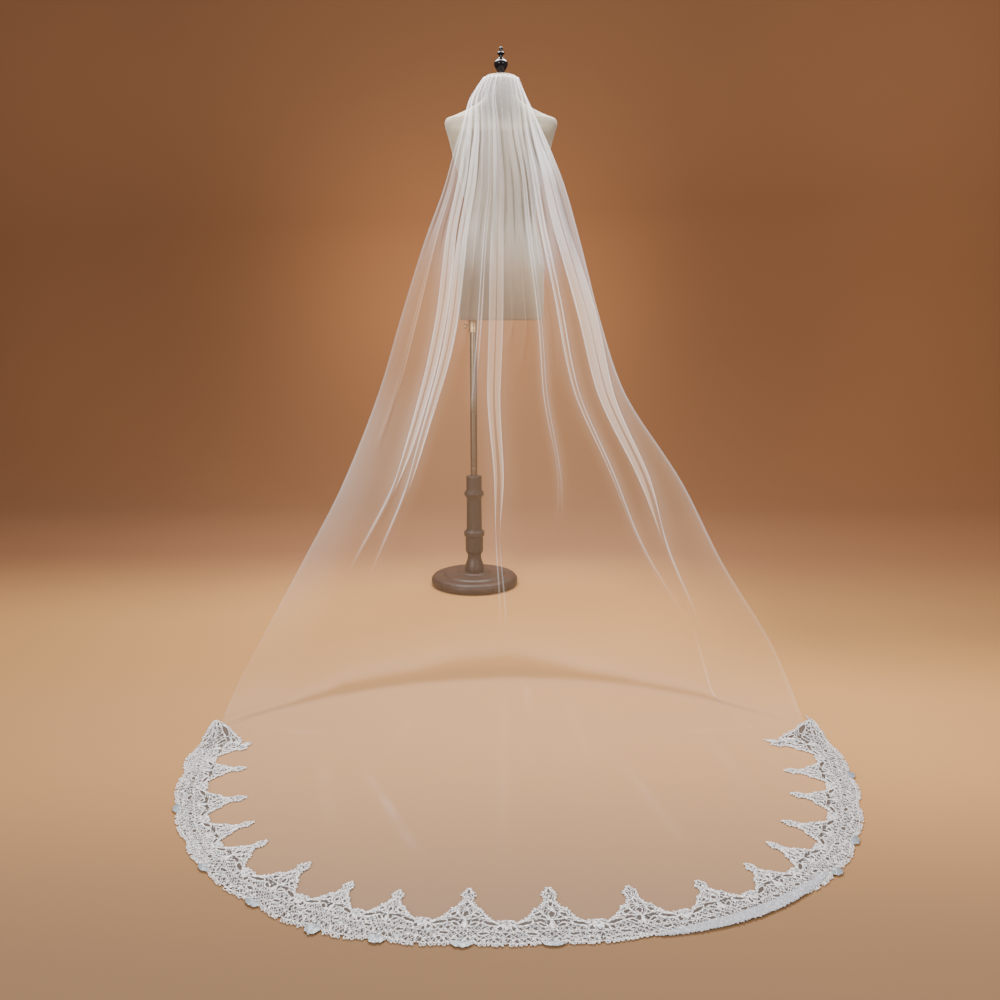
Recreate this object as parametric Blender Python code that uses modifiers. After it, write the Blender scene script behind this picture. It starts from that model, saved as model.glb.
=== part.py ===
"""A cathedral bridal veil with a corded lace edge, shown on a limbless dress form.

The frame: metres, +Z up. The origin is the centre of the round wooden base where it stands on the
floor. The veil hangs from the form's neck, comes down towards -Y and lies on the floor as a train.
"""
import math
from collections import namedtuple
from enum import Enum

import bmesh
import bpy

# ---------------------------------------------------------------- driving dimensions
TOUCH_GAP = 0.0003            # left between pieces that touch
MERGE_DISTANCE = 0.00005

FORM_AXIS_X = 0.096           # the torso stands off the pole's axis
FORM_BOTTOM = 0.944
NECK_TOP = 1.728
NECK_RADIUS = 0.053
FORM_SIDES = 24

COLUMN_TOP = 0.400
POLE_RADIUS = 0.012
POLE_SIDES = 20
CLAMP_RADIUS = 0.0165
CLAMP_HEIGHT = 0.040
CLAMP_WALL_GAP = 0.0004
SCREW_RADIUS = 0.0035
SCREW_HEAD_RADIUS = 0.0085
SCREW_HEAD_LENGTH = 0.010
SCREW_REACH = 0.032           # from the pole's axis to the end of the hand screw
SCREW_SUNK = 0.0025           # how deep its shank stands in the collar's wall
SCREW_SIDES = 12
TURNED_SIDES = 24
FINIAL_SIDES = 14

TULLE_WALL = 0.0012
VEIL_TOP = 1.722
TOUCH_STRIP = 0.015           # the fall's last strip, already flat on the floor
SECTION_POWER = 2.1           # how squarely a section turns from its middle to its edges
ARC_HEIGHT = 1.50             # above this the sections bend round the neck like arcs

TRAIN_CENTRE_X = 0.128
TRAIN_HALF_WIDTH = 0.679      # to the middle of the lace band
TRAIN_SIDE_Y = -1.211         # where the straight sides turn into the rounded front
TRAIN_DEPTH = 0.693
TRAIN_POWER = 2.48
TRAIN_ROWS = 4
TRAIN_COLUMNS = 40
CORNER_Y = -1.147
LEFT_CORNER_X = -0.548
RIGHT_CORNER_X = 0.800
TULLE_PAST_BAND = 0.015       # the tulle's trimmed edge, outside the middle of the band
TRAIN_FIRST_SHARE = 0.03      # of the border's length, where the train's side edges run into it
BORDER_STEP = 0.02            # the step along the border by which its direction is found
BORDER_SAMPLES = 1600

REPEATS_PER_STRETCH = 3
LACE_START = 0.006            # along the border, where the lace begins at the left corner
LACE_WALL = 0.0012
LACE_LIFT = TULLE_WALL + TOUCH_GAP
TURNED_START = 1.395          # along the border, where the outer edge is turned back over itself
TURNED_END = 1.745
TURNED_RISE = 0.0030          # how thick that soft roll lies
TURNED_OUT = -0.0400
TURNED_IN = -0.0030
TURNED_STATIONS = 14

# ---------------------------------------------------------------- turned profiles (radius, height)
BASE_PROFILE = (
    (0.0, 0.050), (0.050, 0.050), (0.060, 0.046), (0.104, 0.042), (0.112, 0.037), (0.138, 0.036),
    (0.149, 0.032), (0.156, 0.023), (0.157, 0.014), (0.155, 0.005), (0.150, 0.0), (0.0, 0.0),
)
COLUMN_PROFILE = (
    (0.0, 0.400), (0.0260, 0.400), (0.0276, 0.397), (0.0276, 0.350), (0.0300, 0.346),
    (0.0353, 0.335), (0.0300, 0.324), (0.0263, 0.317), (0.0278, 0.205), (0.0300, 0.201),
    (0.0368, 0.196), (0.0368, 0.182), (0.0320, 0.178), (0.0316, 0.124), (0.0288, 0.119),
    (0.0242, 0.107), (0.0255, 0.094), (0.0300, 0.080), (0.0345, 0.060), (0.0345, 0.0503),
    (0.0, 0.0503),
)
FINIAL_PROFILE = (
    (0.0, 1.8200), (0.0048, 1.8185), (0.0064, 1.8140), (0.0058, 1.8050), (0.0122, 1.8020),
    (0.0124, 1.7985), (0.0062, 1.7940), (0.0060, 1.7875), (0.0160, 1.7790), (0.0222, 1.7725),
    (0.0230, 1.7675), (0.0212, 1.7600), (0.0140, 1.7480), (0.0106, 1.7430), (0.0108, 1.7370),
    (0.0140, 1.7345), (0.0140, 1.7283), (0.0, 1.7283),
)

# ---------------------------------------------------------------- the torso's rings
Ring = namedtuple("Ring", "height half_width front back power")
TORSO_RINGS = (
    Ring(0.944, 0.136, 0.086, 0.090, 2.3),
    Ring(0.954, 0.144, 0.093, 0.098, 2.3),
    Ring(1.030, 0.149, 0.099, 0.112, 2.3),
    Ring(1.110, 0.149, 0.100, 0.116, 2.3),
    Ring(1.200, 0.136, 0.094, 0.102, 2.3),
    Ring(1.295, 0.119, 0.085, 0.083, 2.2),
    Ring(1.390, 0.134, 0.107, 0.089, 2.2),
    Ring(1.470, 0.158, 0.120, 0.097, 2.3),
    Ring(1.540, 0.176, 0.097, 0.090, 2.3),
    Ring(1.582, 0.186, 0.062, 0.066, 2.2),
    Ring(1.596, 0.180, 0.052, 0.056, 2.1),
    Ring(1.610, 0.150, 0.046, 0.050, 2.0),
    Ring(1.624, 0.118, 0.044, 0.047, 2.0),
    Ring(1.640, 0.086, 0.045, 0.048, 2.0),
    Ring(1.658, 0.062, 0.049, 0.051, 2.0),
    Ring(1.680, 0.054, 0.053, 0.053, 2.0),
    Ring(1.722, NECK_RADIUS, NECK_RADIUS, NECK_RADIUS, 2.0),
    Ring(NECK_TOP, 0.050, 0.050, 0.050, 2.0),
)

# ---------------------------------------------------------------- the veil's sections
# left and right are where the cloth's two side edges stand, in x; edge_y is how far forward they
# have come, and middle_y how far the middle has.
Section = namedtuple("Section", "height left right edge_y middle_y")
VEIL_SECTIONS = (
    Section(1.722, 0.0427, 0.1493, -0.0010, -0.0533),
    Section(1.680, 0.0080, 0.1670, -0.0150, -0.0720),
    Section(1.640, -0.0180, 0.1850, -0.0380, -0.0880),
    Section(1.590, -0.0330, 0.2080, -0.0720, -0.1060),
    Section(1.500, -0.0530, 0.2470, -0.1120, -0.1350),
    Section(1.360, -0.0830, 0.2980, -0.1800, -0.1700),
    Section(1.190, -0.1390, 0.3400, -0.2730, -0.2300),
    Section(0.945, -0.2090, 0.3960, -0.3920, -0.3180),
    Section(0.750, -0.2600, 0.4540, -0.4950, -0.3940),
    Section(0.490, -0.3480, 0.6060, -0.7000, -0.5240),
    Section(0.315, -0.4310, 0.6820, -0.8500, -0.6190),
    Section(0.121, -0.5120, 0.7880, -1.0200, -0.7290),
    Section(0.030, -0.5560, 0.8170, -1.1020, -0.7900),
    Section(0.000, -0.5660, 0.8210, -1.1470, -0.8300),
)
VEIL_LEVELS = (1.722, 1.700, 1.670, 1.635, 1.590, 1.520, 1.420, 1.300, 1.160, 1.020, 0.870, 0.720,
               0.570, 0.450, 0.260, 0.140, 0.018, 0.0)

# ---------------------------------------------------------------- the gathers and folds
# A bend is a fold's section from its left root to its right one. root, spread and rise are the
# shares of the fold's own root, spread and rise at which each of its points stands.
Bend = namedtuple("Bend", "root spread rise")
FLAT_BEND = (
    Bend(-1.00, 0.00, 0.00), Bend(-0.85, 0.00, 0.22), Bend(-0.60, -1.00, 0.55),
    Bend(-0.25, -0.75, 1.00), Bend(0.25, 0.75, 1.00), Bend(0.60, 1.00, 0.55),
    Bend(0.85, 0.00, 0.22), Bend(1.00, 0.00, 0.00),
)
ROUND_BEND = (
    Bend(-1.00, 0.00, 0.00), Bend(-0.50, -1.00, 0.70), Bend(0.00, 0.00, 1.00),
    Bend(0.50, 1.00, 0.70), Bend(1.00, 0.00, 0.00),
)
# neck, chest, hip, knee and end say where across the veil a fold runs (-1 left edge, +1 right
# edge); spread is how far its flaps reach to each side at the hip, narrow the share of it left
# halfway down to the fold's end, rise how far it stands proud, ends the height at which it has
# died away and bend its section.
Fold = namedtuple("Fold", "name neck chest hip knee end spread narrow rise ends bend")
FOLDS = (
    Fold("left_edge_gather", -0.88, -0.90, -0.86, -0.88, -0.88, 0.0040, 0.5, 0.011, 0.56, ROUND_BEND),
    Fold("left_outer_fold", -0.72, -0.73, -0.61, -0.69, -0.765, 0.0150, 0.65, 0.018, 0.32, FLAT_BEND),
    Fold("left_inner_fold", -0.56, -0.56, -0.49, -0.615, -0.66, 0.0145, 0.45, 0.015, 0.28, FLAT_BEND),
    Fold("left_soft_gather", -0.41, -0.39, -0.34, -0.34, -0.34, 0.0015, 0.4, 0.011, 0.84, ROUND_BEND),
    Fold("left_thin_fold", -0.26, -0.25, -0.212, -0.24, -0.24, 0.0045, 0.6, 0.013, 0.66, ROUND_BEND),
    Fold("centre_band", -0.11, -0.09, -0.043, -0.085, -0.037, 0.0200, 0.55, 0.018, 0.12, FLAT_BEND),
    Fold("centre_soft_gather", 0.04, 0.07, 0.13, 0.08, 0.08, 0.0015, 0.4, 0.011, 0.86, ROUND_BEND),
    Fold("right_soft_gather", 0.19, 0.21, 0.27, 0.17, 0.17, 0.0015, 0.4, 0.011, 0.78, ROUND_BEND),
    Fold("right_thin_fold", 0.34, 0.34, 0.41, 0.31, 0.26, 0.0045, 0.7, 0.013, 0.40, ROUND_BEND),
    Fold("right_inner_gather", 0.49, 0.43, 0.51, 0.45, 0.45, 0.0015, 0.4, 0.011, 0.74, ROUND_BEND),
    Fold("right_long_fold", 0.64, 0.53, 0.633, 0.625, 0.71, 0.0085, 0.35, 0.014, 0.18, ROUND_BEND),
    Fold("right_outer_band", 0.82, 0.78, 0.90, 0.82, 0.80, 0.0270, 0.6, 0.020, 0.16, FLAT_BEND),
)


class Side(Enum):
    """Which part of the veil's width a stretch takes."""

    LEFT = -1
    WHOLE = 0
    RIGHT = 1


# The fall is one cut of cloth; it is parted into stretches, each short enough for its collision
# pieces to follow its folds.
PARTING_FOLD = "centre_band"
PARTING_GAP = 0.0009          # between an upper stretch and a lower one
Stretch = namedtuple("Stretch", "name top bottom side")
FALL_STRETCHES = (
    Stretch("veil_fall_top", 1.722, 1.020, Side.WHOLE),
    Stretch("veil_fall_middle_left", 1.020, 0.360, Side.LEFT),
    Stretch("veil_fall_middle_right", 1.020, 0.360, Side.RIGHT),
    Stretch("veil_fall_low_left", 0.360, 0.0, Side.LEFT),
    Stretch("veil_fall_low_right", 0.360, 0.0, Side.RIGHT),
)
CHEST_HEIGHT = 1.36
HIP_HEIGHT = 0.95
KNEE_HEIGHT = 0.55
CHEST_SHARE = 0.75            # of a fold's hip spread, at the chest
OPENING_SHARE = 0.25          # of the way from a fold's end to the hip, where its flaps have gone
NECK_RISE = 0.0060
NECK_ROOT = 0.0022            # half the width of a fold's root at the neck
HIP_ROOT = 0.0030
OPEN_ROOT = 0.0160            # and where the fold has opened out
DIP_SHARE = 0.30              # how far the cloth sinks between two folds, as a share of their rise
DIP_DEPTH = 0.30              # below the neck, where the cloth has sunk that far
FRAME_STEP = 0.004            # the step across the veil by which its direction is found

# ---------------------------------------------------------------- one repeat of the lace
# end is how far along the border's middle line a repeat reaches, crown how far its tip reaches
# inward, outer how far its scallop reaches outward, and lean how far its tip is off its middle.
Repeat = namedtuple("Repeat", "end crown outer lean")
REPEATS = (
    Repeat(0.205, 0.076, 0.048, 0.47), Repeat(0.322, 0.091, 0.045, -0.20),
    Repeat(0.456, 0.096, 0.042, 0.10), Repeat(0.559, 0.093, 0.040, 0.15),
    Repeat(0.675, 0.088, 0.040, -0.20), Repeat(0.807, 0.097, 0.042, 0.10),
    Repeat(0.915, 0.083, 0.055, 0.10), Repeat(1.026, 0.083, 0.048, -0.10),
    Repeat(1.161, 0.101, 0.042, 0.0), Repeat(1.307, 0.105, 0.038, 0.0),
    Repeat(1.452, 0.098, 0.034, 0.05), Repeat(1.585, 0.081, 0.036, 0.05),
    Repeat(1.701, 0.079, 0.038, 0.10), Repeat(1.805, 0.092, 0.047, 0.0),
    Repeat(1.927, 0.095, 0.043, -0.10), Repeat(2.050, 0.092, 0.046, 0.10),
    Repeat(2.172, 0.098, 0.044, -0.10), Repeat(2.368, 0.100, 0.043, -0.31),
)
# across is measured from the middle of the repeat as a share of half its length; the crown's
# inward is from the middle of the band in metres, for a crown of CROWN_REACH, and the scallop's
# outward is a share of the repeat's outer reach.
CROWN_REACH = 0.098
CROWN_FOOT = 0.0215
CROWN_EDGE = (
    (1.00, CROWN_FOOT), (0.84, 0.0200), (0.74, 0.0150), (0.60, 0.0250), (0.40, 0.0370),
    (0.34, 0.0470), (0.20, 0.0560), (0.12, 0.0740), (0.16, 0.0810), (0.08, 0.0885),
    (0.0, CROWN_REACH),
)
SCALLOP_EDGE = (
    (1.00, 0.78), (0.80, 0.90), (0.50, 0.97), (0.24, 0.88), (0.18, 1.00), (0.0, 1.07),
)
# across and inward place the gap's middle; half_length and half_width are its size, tilt its angle
# in degrees to the band; a paired gap has a twin on the other side of the crown.
Gap = namedtuple("Gap", "name across inward half_length half_width tilt sides paired")
LACE_GAPS = (
    Gap("arm_eye", 0.62, 0.0110, 0.0125, 0.0034, -24.0, 6, True),
    Gap("scroll_loop", 0.29, 0.0330, 0.0058, 0.0036, -50.0, 4, True),
    Gap("crown_heart", 0.0, 0.0330, 0.0060, 0.0040, 90.0, 4, False),
    Gap("spire_slot", 0.0, 0.0580, 0.0075, 0.0026, 90.0, 4, False),
    Gap("foot_petal", 0.22, 0.0090, 0.0068, 0.0032, 42.0, 4, True),
    Gap("band_eyelet", 0.46, -0.0130, 0.0068, 0.0034, 8.0, 4, True),
    Gap("valley_eyelet", 0.84, -0.0010, 0.0052, 0.0034, 60.0, 4, True),
)


# ---------------------------------------------------------------- small helpers
def clear_scene():
    """Remove what the file opens with."""
    for item in list(bpy.data.objects):
        bpy.data.objects.remove(item, do_unlink=True)


def make_collection(name):
    """A collection linked to the scene."""
    collection = bpy.data.collections.new(name)
    bpy.context.scene.collection.children.link(collection)
    return collection


def make_material(name, colour, roughness, metallic=0.0, alpha=1.0):
    """A Principled material."""
    material = bpy.data.materials.new(name)
    material.use_nodes = True
    shader = material.node_tree.nodes["Principled BSDF"]
    shader.inputs["Base Color"].default_value = (*colour, 1.0)
    shader.inputs["Roughness"].default_value = roughness
    shader.inputs["Metallic"].default_value = metallic
    shader.inputs["Alpha"].default_value = alpha
    return material


def add_object(name, mesh, material, collection, parent):
    """A mesh object of one material, under the parent."""
    item = bpy.data.objects.new(name, mesh)
    mesh.materials.clear()
    mesh.materials.append(material)
    collection.objects.link(item)
    item.parent = parent
    return item


def smooth_between(table, column, height):
    """A column of a table read at any height: a cubic that never overshoots its rows."""
    rows = sorted(table, key=lambda row: row.height)
    xs = [row.height for row in rows]
    ys = [getattr(row, column) for row in rows]
    return monotone_cubic(xs, ys, height)


def monotone_cubic(xs, ys, x):
    """The shape-keeping cubic through (xs, ys), xs rising, at x."""
    x = min(max(x, xs[0]), xs[-1])
    steps = [b - a for a, b in zip(xs, xs[1:])]
    slopes = [(b - a) / step for a, b, step in zip(ys, ys[1:], steps)]
    tangents = [slopes[0]]
    for before, after in zip(slopes, slopes[1:]):
        tangents.append(0.0 if before * after <= 0.0 else 2.0 * before * after / (before + after))
    tangents.append(slopes[-1])
    index = max(i for i in range(len(steps)) if x >= xs[i])
    step = steps[index]
    t = (x - xs[index]) / step
    return (ys[index] * (1 + 2 * t) * (1 - t) ** 2 + step * tangents[index] * t * (1 - t) ** 2
            + ys[index + 1] * t * t * (3 - 2 * t) + step * tangents[index + 1] * t * t * (t - 1))


def mesh_of(name, points, faces):
    """A mesh from points and faces, with its normals made consistent by the faces' order."""
    mesh = bpy.data.meshes.new(name)
    mesh.from_pydata(points, [], faces)
    mesh.validate()
    mesh.update()
    return mesh


def grid_faces(rows, columns):
    """Quads over a grid of points stored row by row."""
    return [(r * columns + c, (r + 1) * columns + c, (r + 1) * columns + c + 1, r * columns + c + 1)
            for r in range(rows - 1) for c in range(columns - 1)]


# ---------------------------------------------------------------- the stand
def turned(name, profile, sides, material, collection, parent, axis_x=0.0):
    """A turned solid: a profile of (radius, height) spun round a vertical axis."""
    points = [(radius, 0.0, height) for radius, height in profile]
    mesh = bpy.data.meshes.new(name)
    mesh.from_pydata(points, [(i, i + 1) for i in range(len(points) - 1)], [])
    item = add_object(name, mesh, material, collection, parent)
    item.location = (axis_x, 0.0, 0.0)
    spin = item.modifiers.new("Spin", "SCREW")
    spin.steps = sides
    spin.render_steps = sides
    spin.use_merge_vertices = True
    spin.merge_threshold = MERGE_DISTANCE
    spin.use_smooth_shade = True
    return item


def build_pole(material, collection, parent):
    """The steel pole from the column's top to the form's underside."""
    bottom = COLUMN_TOP + TOUCH_GAP
    top = FORM_BOTTOM - TOUCH_GAP
    profile = ((0.0, top), (POLE_RADIUS, top), (POLE_RADIUS, bottom), (0.0, bottom))
    return turned("stand_pole", profile, POLE_SIDES, material, collection, parent)


def build_clamp(material, collection, cutters, parent):
    """The collar under the form, with its hand screw on the left, as one piece."""
    top = FORM_BOTTOM - TOUCH_GAP
    bottom = top - CLAMP_HEIGHT
    bore = POLE_RADIUS + CLAMP_WALL_GAP
    profile = ((bore, top), (CLAMP_RADIUS, top), (CLAMP_RADIUS, bottom), (bore, bottom), (bore, top))
    collar = turned("pole_clamp", profile, POLE_SIDES, material, collection, parent)
    middle = (top + bottom) / 2
    inner = CLAMP_RADIUS - SCREW_SUNK
    head = SCREW_REACH - SCREW_HEAD_LENGTH
    outline = ((0.0, SCREW_REACH), (SCREW_HEAD_RADIUS, SCREW_REACH), (SCREW_HEAD_RADIUS, head),
               (SCREW_RADIUS, head), (SCREW_RADIUS, inner), (0.0, inner))
    screw = turned("hand_screw", outline, SCREW_SIDES, material, cutters, parent)
    screw.location = (0.0, 0.0, middle)
    screw.rotation_euler = (0.0, -math.pi / 2, 0.0)
    screw.hide_render = True
    screw.display_type = "WIRE"
    join = collar.modifiers.new("Hand screw", "BOOLEAN")
    join.operation = "UNION"
    join.solver = "EXACT"
    join.object = screw
    return collar


# ---------------------------------------------------------------- the dress form
def ring_points(ring, sides):
    """One ring of the torso, a rounded rectangle deeper at the back or at the front."""
    points = []
    for side in range(sides):
        angle = 2 * math.pi * side / sides
        cosine, sine = math.cos(angle), math.sin(angle)
        depth = ring.front if sine > 0 else ring.back
        x = math.copysign(abs(cosine) ** (2 / ring.power), cosine) * ring.half_width
        y = math.copysign(abs(sine) ** (2 / ring.power), sine) * depth
        points.append((x, y, ring.height))
    return points


def build_form(material, collection, parent):
    """The torso and neck, lofted through their rings and closed with flat ends."""
    points = [point for ring in TORSO_RINGS for point in ring_points(ring, FORM_SIDES)]
    faces = []
    for level in range(len(TORSO_RINGS) - 1):
        low, high = level * FORM_SIDES, (level + 1) * FORM_SIDES
        for side in range(FORM_SIDES):
            after = (side + 1) % FORM_SIDES
            faces.append((low + side, low + after, high + after, high + side))
    last = (len(TORSO_RINGS) - 1) * FORM_SIDES
    faces.append(tuple(reversed(range(FORM_SIDES))))
    faces.append(tuple(range(last, last + FORM_SIDES)))
    mesh = mesh_of("dress_form", points, faces)
    mesh.shade_smooth()
    item = add_object("dress_form", mesh, material, collection, parent)
    item.location = (FORM_AXIS_X, 0.0, 0.0)
    return item


# ---------------------------------------------------------------- the veil's surface
def veil_frame(across, height):
    """The veil's smooth surface at a place across it (-1 to 1) and a height: point, along, out."""
    here = veil_base(across, height)
    after = veil_base(across + FRAME_STEP, height)
    before = veil_base(across - FRAME_STEP, height)
    dx, dy = after[0] - before[0], after[1] - before[1]
    length = math.hypot(dx, dy)
    along = (dx / length, dy / length)
    return here, along, (along[1], -along[0])


def veil_base(across, height):
    """A point of the unfolded veil: an arc round the neck that opens into a spread sheet."""
    left = smooth_between(VEIL_SECTIONS, "left", height)
    right = smooth_between(VEIL_SECTIONS, "right", height)
    edge_y = smooth_between(VEIL_SECTIONS, "edge_y", height)
    middle_y = smooth_between(VEIL_SECTIONS, "middle_y", height)
    spread = min(max((VEIL_TOP - height) / (VEIL_TOP - ARC_HEIGHT), 0.0), 1.0)
    spread = spread * spread * (3 - 2 * spread)
    angle = across * math.pi / 2
    place = (1 - spread) * math.sin(angle) + spread * across
    turn = (1 - spread) * (1 - math.cos(angle)) + spread * abs(across) ** SECTION_POWER
    x = (left + right) / 2 + place * (right - left) / 2
    return x, middle_y + (edge_y - middle_y) * turn


def fold_shape(fold, height):
    """Where a fold runs at a height, and its root, spread and rise there."""
    stops = [HIP_HEIGHT, CHEST_HEIGHT, VEIL_TOP]
    places = [fold.hip, fold.chest, fold.neck]
    if fold.ends < KNEE_HEIGHT:
        stops, places = [KNEE_HEIGHT] + stops, [fold.knee] + places
    place = monotone_cubic([fold.ends] + stops, [fold.end] + places, height)
    opens = fold.ends + OPENING_SHARE * (HIP_HEIGHT - fold.ends)
    levels = [fold.ends, opens, (HIP_HEIGHT + fold.ends) / 2, HIP_HEIGHT, CHEST_HEIGHT, VEIL_TOP]
    root = monotone_cubic(levels, [OPEN_ROOT, 3 * HIP_ROOT, 2 * HIP_ROOT, HIP_ROOT, HIP_ROOT,
                                   NECK_ROOT], height)
    spread = monotone_cubic(levels, [0.0, 0.0, fold.narrow * fold.spread, fold.spread,
                                     CHEST_SHARE * fold.spread, 0.0], height)
    rise = monotone_cubic(levels, [0.0, 0.5 * fold.rise, 0.8 * fold.rise, fold.rise,
                                   0.9 * fold.rise, NECK_RISE], height)
    return place, root, spread, rise


def veil_row(height):
    """One row of the folded veil: every fold's bend, and a point midway between neighbours."""
    row = []
    half = (smooth_between(VEIL_SECTIONS, "right", height)
            - smooth_between(VEIL_SECTIONS, "left", height)) / 2
    last_place, last_rise = -1.0, 0.0
    row.append(veil_base(-1.0, height))
    for fold in FOLDS:
        place, root, spread, rise = fold_shape(fold, height)
        start = place - root / half
        middle = (last_place + start) / 2
        sink = DIP_SHARE * (rise + last_rise) / 2 * min((VEIL_TOP - height) / DIP_DEPTH, 1.0)
        row.append(shifted(middle, height, 0.0, -sink))
        for bend in fold.bend:
            sideways = root * bend.root + spread * bend.spread
            row.append(shifted(place, height, sideways, rise * bend.rise))
        last_place, last_rise = place + root / half, rise
    row.append(shifted((last_place + 1.0) / 2, height, 0.0, 0.0))
    row.append(veil_base(1.0, height))
    return row


def shifted(across, height, sideways, outward):
    """A point of the veil's surface moved along its section and out from it."""
    here, along, out = veil_frame(across, height)
    return here[0] + along[0] * sideways + out[0] * outward, \
        here[1] + along[1] * sideways + out[1] * outward


def touch_line():
    """The veil's row where it meets the floor."""
    return veil_row(0.0)


def parting_column():
    """How many points of a row come before the middle of the fold that parts left from right."""
    index = [fold.name for fold in FOLDS].index(PARTING_FOLD)
    before = 1 + sum(1 + len(fold.bend) for fold in FOLDS[:index])
    return before + 1 + len(FOLDS[index].bend) // 2


def stretch_row(height, side):
    """The row of a stretch: all of it, or what lies on one side of the parting fold's middle."""
    row = veil_row(height)
    if side is Side.WHOLE:
        return row
    parting = next(fold for fold in FOLDS if fold.name == PARTING_FOLD)
    place, _, _, rise = fold_shape(parting, height)
    seam = shifted(place, height, side.value * TOUCH_GAP / 2, rise)
    column = parting_column()
    return row[:column] + [seam] if side is Side.LEFT else [seam] + row[column:]


def build_fall(stretch, material, collection, parent):
    """A stretch of the tulle between the gathered neck end and the strip that lies flat."""
    top = stretch.top - (PARTING_GAP / 2 if stretch.top < VEIL_TOP else 0.0)
    bottom = stretch.bottom + (PARTING_GAP / 2 if stretch.bottom > 0.0 else 0.0)
    inner = [height for height in VEIL_LEVELS if stretch.bottom < height < stretch.top]
    rows = [[(x, y, height) for x, y in stretch_row(height, stretch.side)]
            for height in [top] + inner + [bottom]]
    if stretch.bottom == 0.0:
        rows.append([(x, y - TOUCH_STRIP, 0.0) for x, y, _ in rows[-1]])
    mesh = mesh_of(stretch.name, [point for row in rows for point in row],
                   grid_faces(len(rows), len(rows[0])))
    mesh.shade_smooth()
    item = add_object(stretch.name, mesh, material, collection, parent)
    add_wall(item, TULLE_WALL)
    return item


def add_wall(item, thickness):
    """Give an open surface its wall, on the side that its faces look to."""
    wall = item.modifiers.new("Wall", "SOLIDIFY")
    wall.thickness = thickness
    wall.offset = 1.0
    wall.use_even_offset = False
    return wall


# ---------------------------------------------------------------- the train's border
def border_samples(count=BORDER_SAMPLES):
    """The middle line of the lace band, from the left corner round the front to the right one."""
    left = (TRAIN_CENTRE_X - TRAIN_HALF_WIDTH, TRAIN_SIDE_Y)
    right = (TRAIN_CENTRE_X + TRAIN_HALF_WIDTH, TRAIN_SIDE_Y)
    points = [(LEFT_CORNER_X, CORNER_Y)]
    for index in range(count + 1):
        angle = math.pi * (1 - index / count)
        cosine, sine = math.cos(angle), math.sin(angle)
        x = math.copysign(abs(cosine) ** (2 / TRAIN_POWER), cosine) * TRAIN_HALF_WIDTH
        y = abs(sine) ** (2 / TRAIN_POWER) * TRAIN_DEPTH
        points.append((TRAIN_CENTRE_X + x, TRAIN_SIDE_Y - y))
    points[1], points[-1] = left, right
    points.append((RIGHT_CORNER_X, CORNER_Y))
    lengths = [0.0]
    for before, after in zip(points, points[1:]):
        lengths.append(lengths[-1] + math.dist(before, after))
    return points, lengths


BORDER_POINTS, BORDER_LENGTHS = border_samples()
BORDER_LENGTH = BORDER_LENGTHS[-1]


def border_place(distance):
    """A point of the border's middle line at a distance along it, running on past its ends."""
    if distance <= 0.0 or distance >= BORDER_LENGTH:
        index = 0 if distance <= 0.0 else len(BORDER_POINTS) - 2
    else:
        low, high = 0, len(BORDER_POINTS) - 1
        while high - low > 1:
            middle = (low + high) // 2
            if BORDER_LENGTHS[middle] <= distance:
                low = middle
            else:
                high = middle
        index = low
    before, after = BORDER_POINTS[index], BORDER_POINTS[index + 1]
    share = (distance - BORDER_LENGTHS[index]) / (BORDER_LENGTHS[index + 1] - BORDER_LENGTHS[index])
    return before[0] + (after[0] - before[0]) * share, before[1] + (after[1] - before[1]) * share


def border_at(distance, inward):
    """A point of the border at a distance along it and inward from its middle line."""
    x, y = border_place(distance)
    ahead, behind = border_place(distance + BORDER_STEP), border_place(distance - BORDER_STEP)
    dx, dy = ahead[0] - behind[0], ahead[1] - behind[1]
    length = math.hypot(dx, dy)
    return x - dy / length * inward, y + dx / length * inward


def build_train(material, collection, parent):
    """The tulle that lies on the floor, from the touch line to its trimmed edge."""
    line = touch_line()
    back = resample(line, TRAIN_COLUMNS)
    rows = []
    for row in range(TRAIN_ROWS + 1):
        share = row / TRAIN_ROWS
        points = []
        for column in range(TRAIN_COLUMNS + 1):
            x, y = back[column]
            y -= TOUCH_STRIP + TOUCH_GAP
            end_x, end_y = border_at(BORDER_LENGTH * train_share(column), -TULLE_PAST_BAND)
            points.append((x + (end_x - x) * share, y + (end_y - y) * share, 0.0))
        rows.append(points)
    mesh = mesh_of("veil_train", [point for row in rows for point in row],
                   grid_faces(len(rows), TRAIN_COLUMNS + 1))
    item = add_object("veil_train", mesh, material, collection, parent)
    add_wall(item, TULLE_WALL)
    return item


def train_share(column):
    """The share of the border's length at a column, from past one corner to past the other."""
    return TRAIN_FIRST_SHARE + (1 - 2 * TRAIN_FIRST_SHARE) * column / TRAIN_COLUMNS


def resample(line, count):
    """Points at even distances along a line of points."""
    lengths = [0.0]
    for before, after in zip(line, line[1:]):
        lengths.append(lengths[-1] + math.dist(before, after))
    points, index = [], 0
    for step in range(count + 1):
        distance = lengths[-1] * step / count
        while index < len(line) - 2 and lengths[index + 1] < distance:
            index += 1
        span = lengths[index + 1] - lengths[index]
        share = (distance - lengths[index]) / span
        before, after = line[index], line[index + 1]
        points.append((before[0] + (after[0] - before[0]) * share,
                       before[1] + (after[1] - before[1]) * share))
    return points


# ---------------------------------------------------------------- the lace border
def repeat_span(index):
    """Where a repeat starts and ends along the border."""
    start = REPEATS[index - 1].end if index > 0 else LACE_START
    return start, REPEATS[index].end


def both_sides(edge):
    """An edge given from one foot to the middle, mirrored to the other foot, which is left out."""
    return [(-across, reach) for across, reach in edge] + \
        [(across, reach) for across, reach in reversed(edge[1:-1])]


def along_repeat(index, across):
    """The distance along the border of a place across a repeat, with the repeat's own lean."""
    start, end = repeat_span(index)
    leaning = across + REPEATS[index].lean * (1 - abs(across))
    return (start + end) / 2 + leaning * (end - start) / 2


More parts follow.
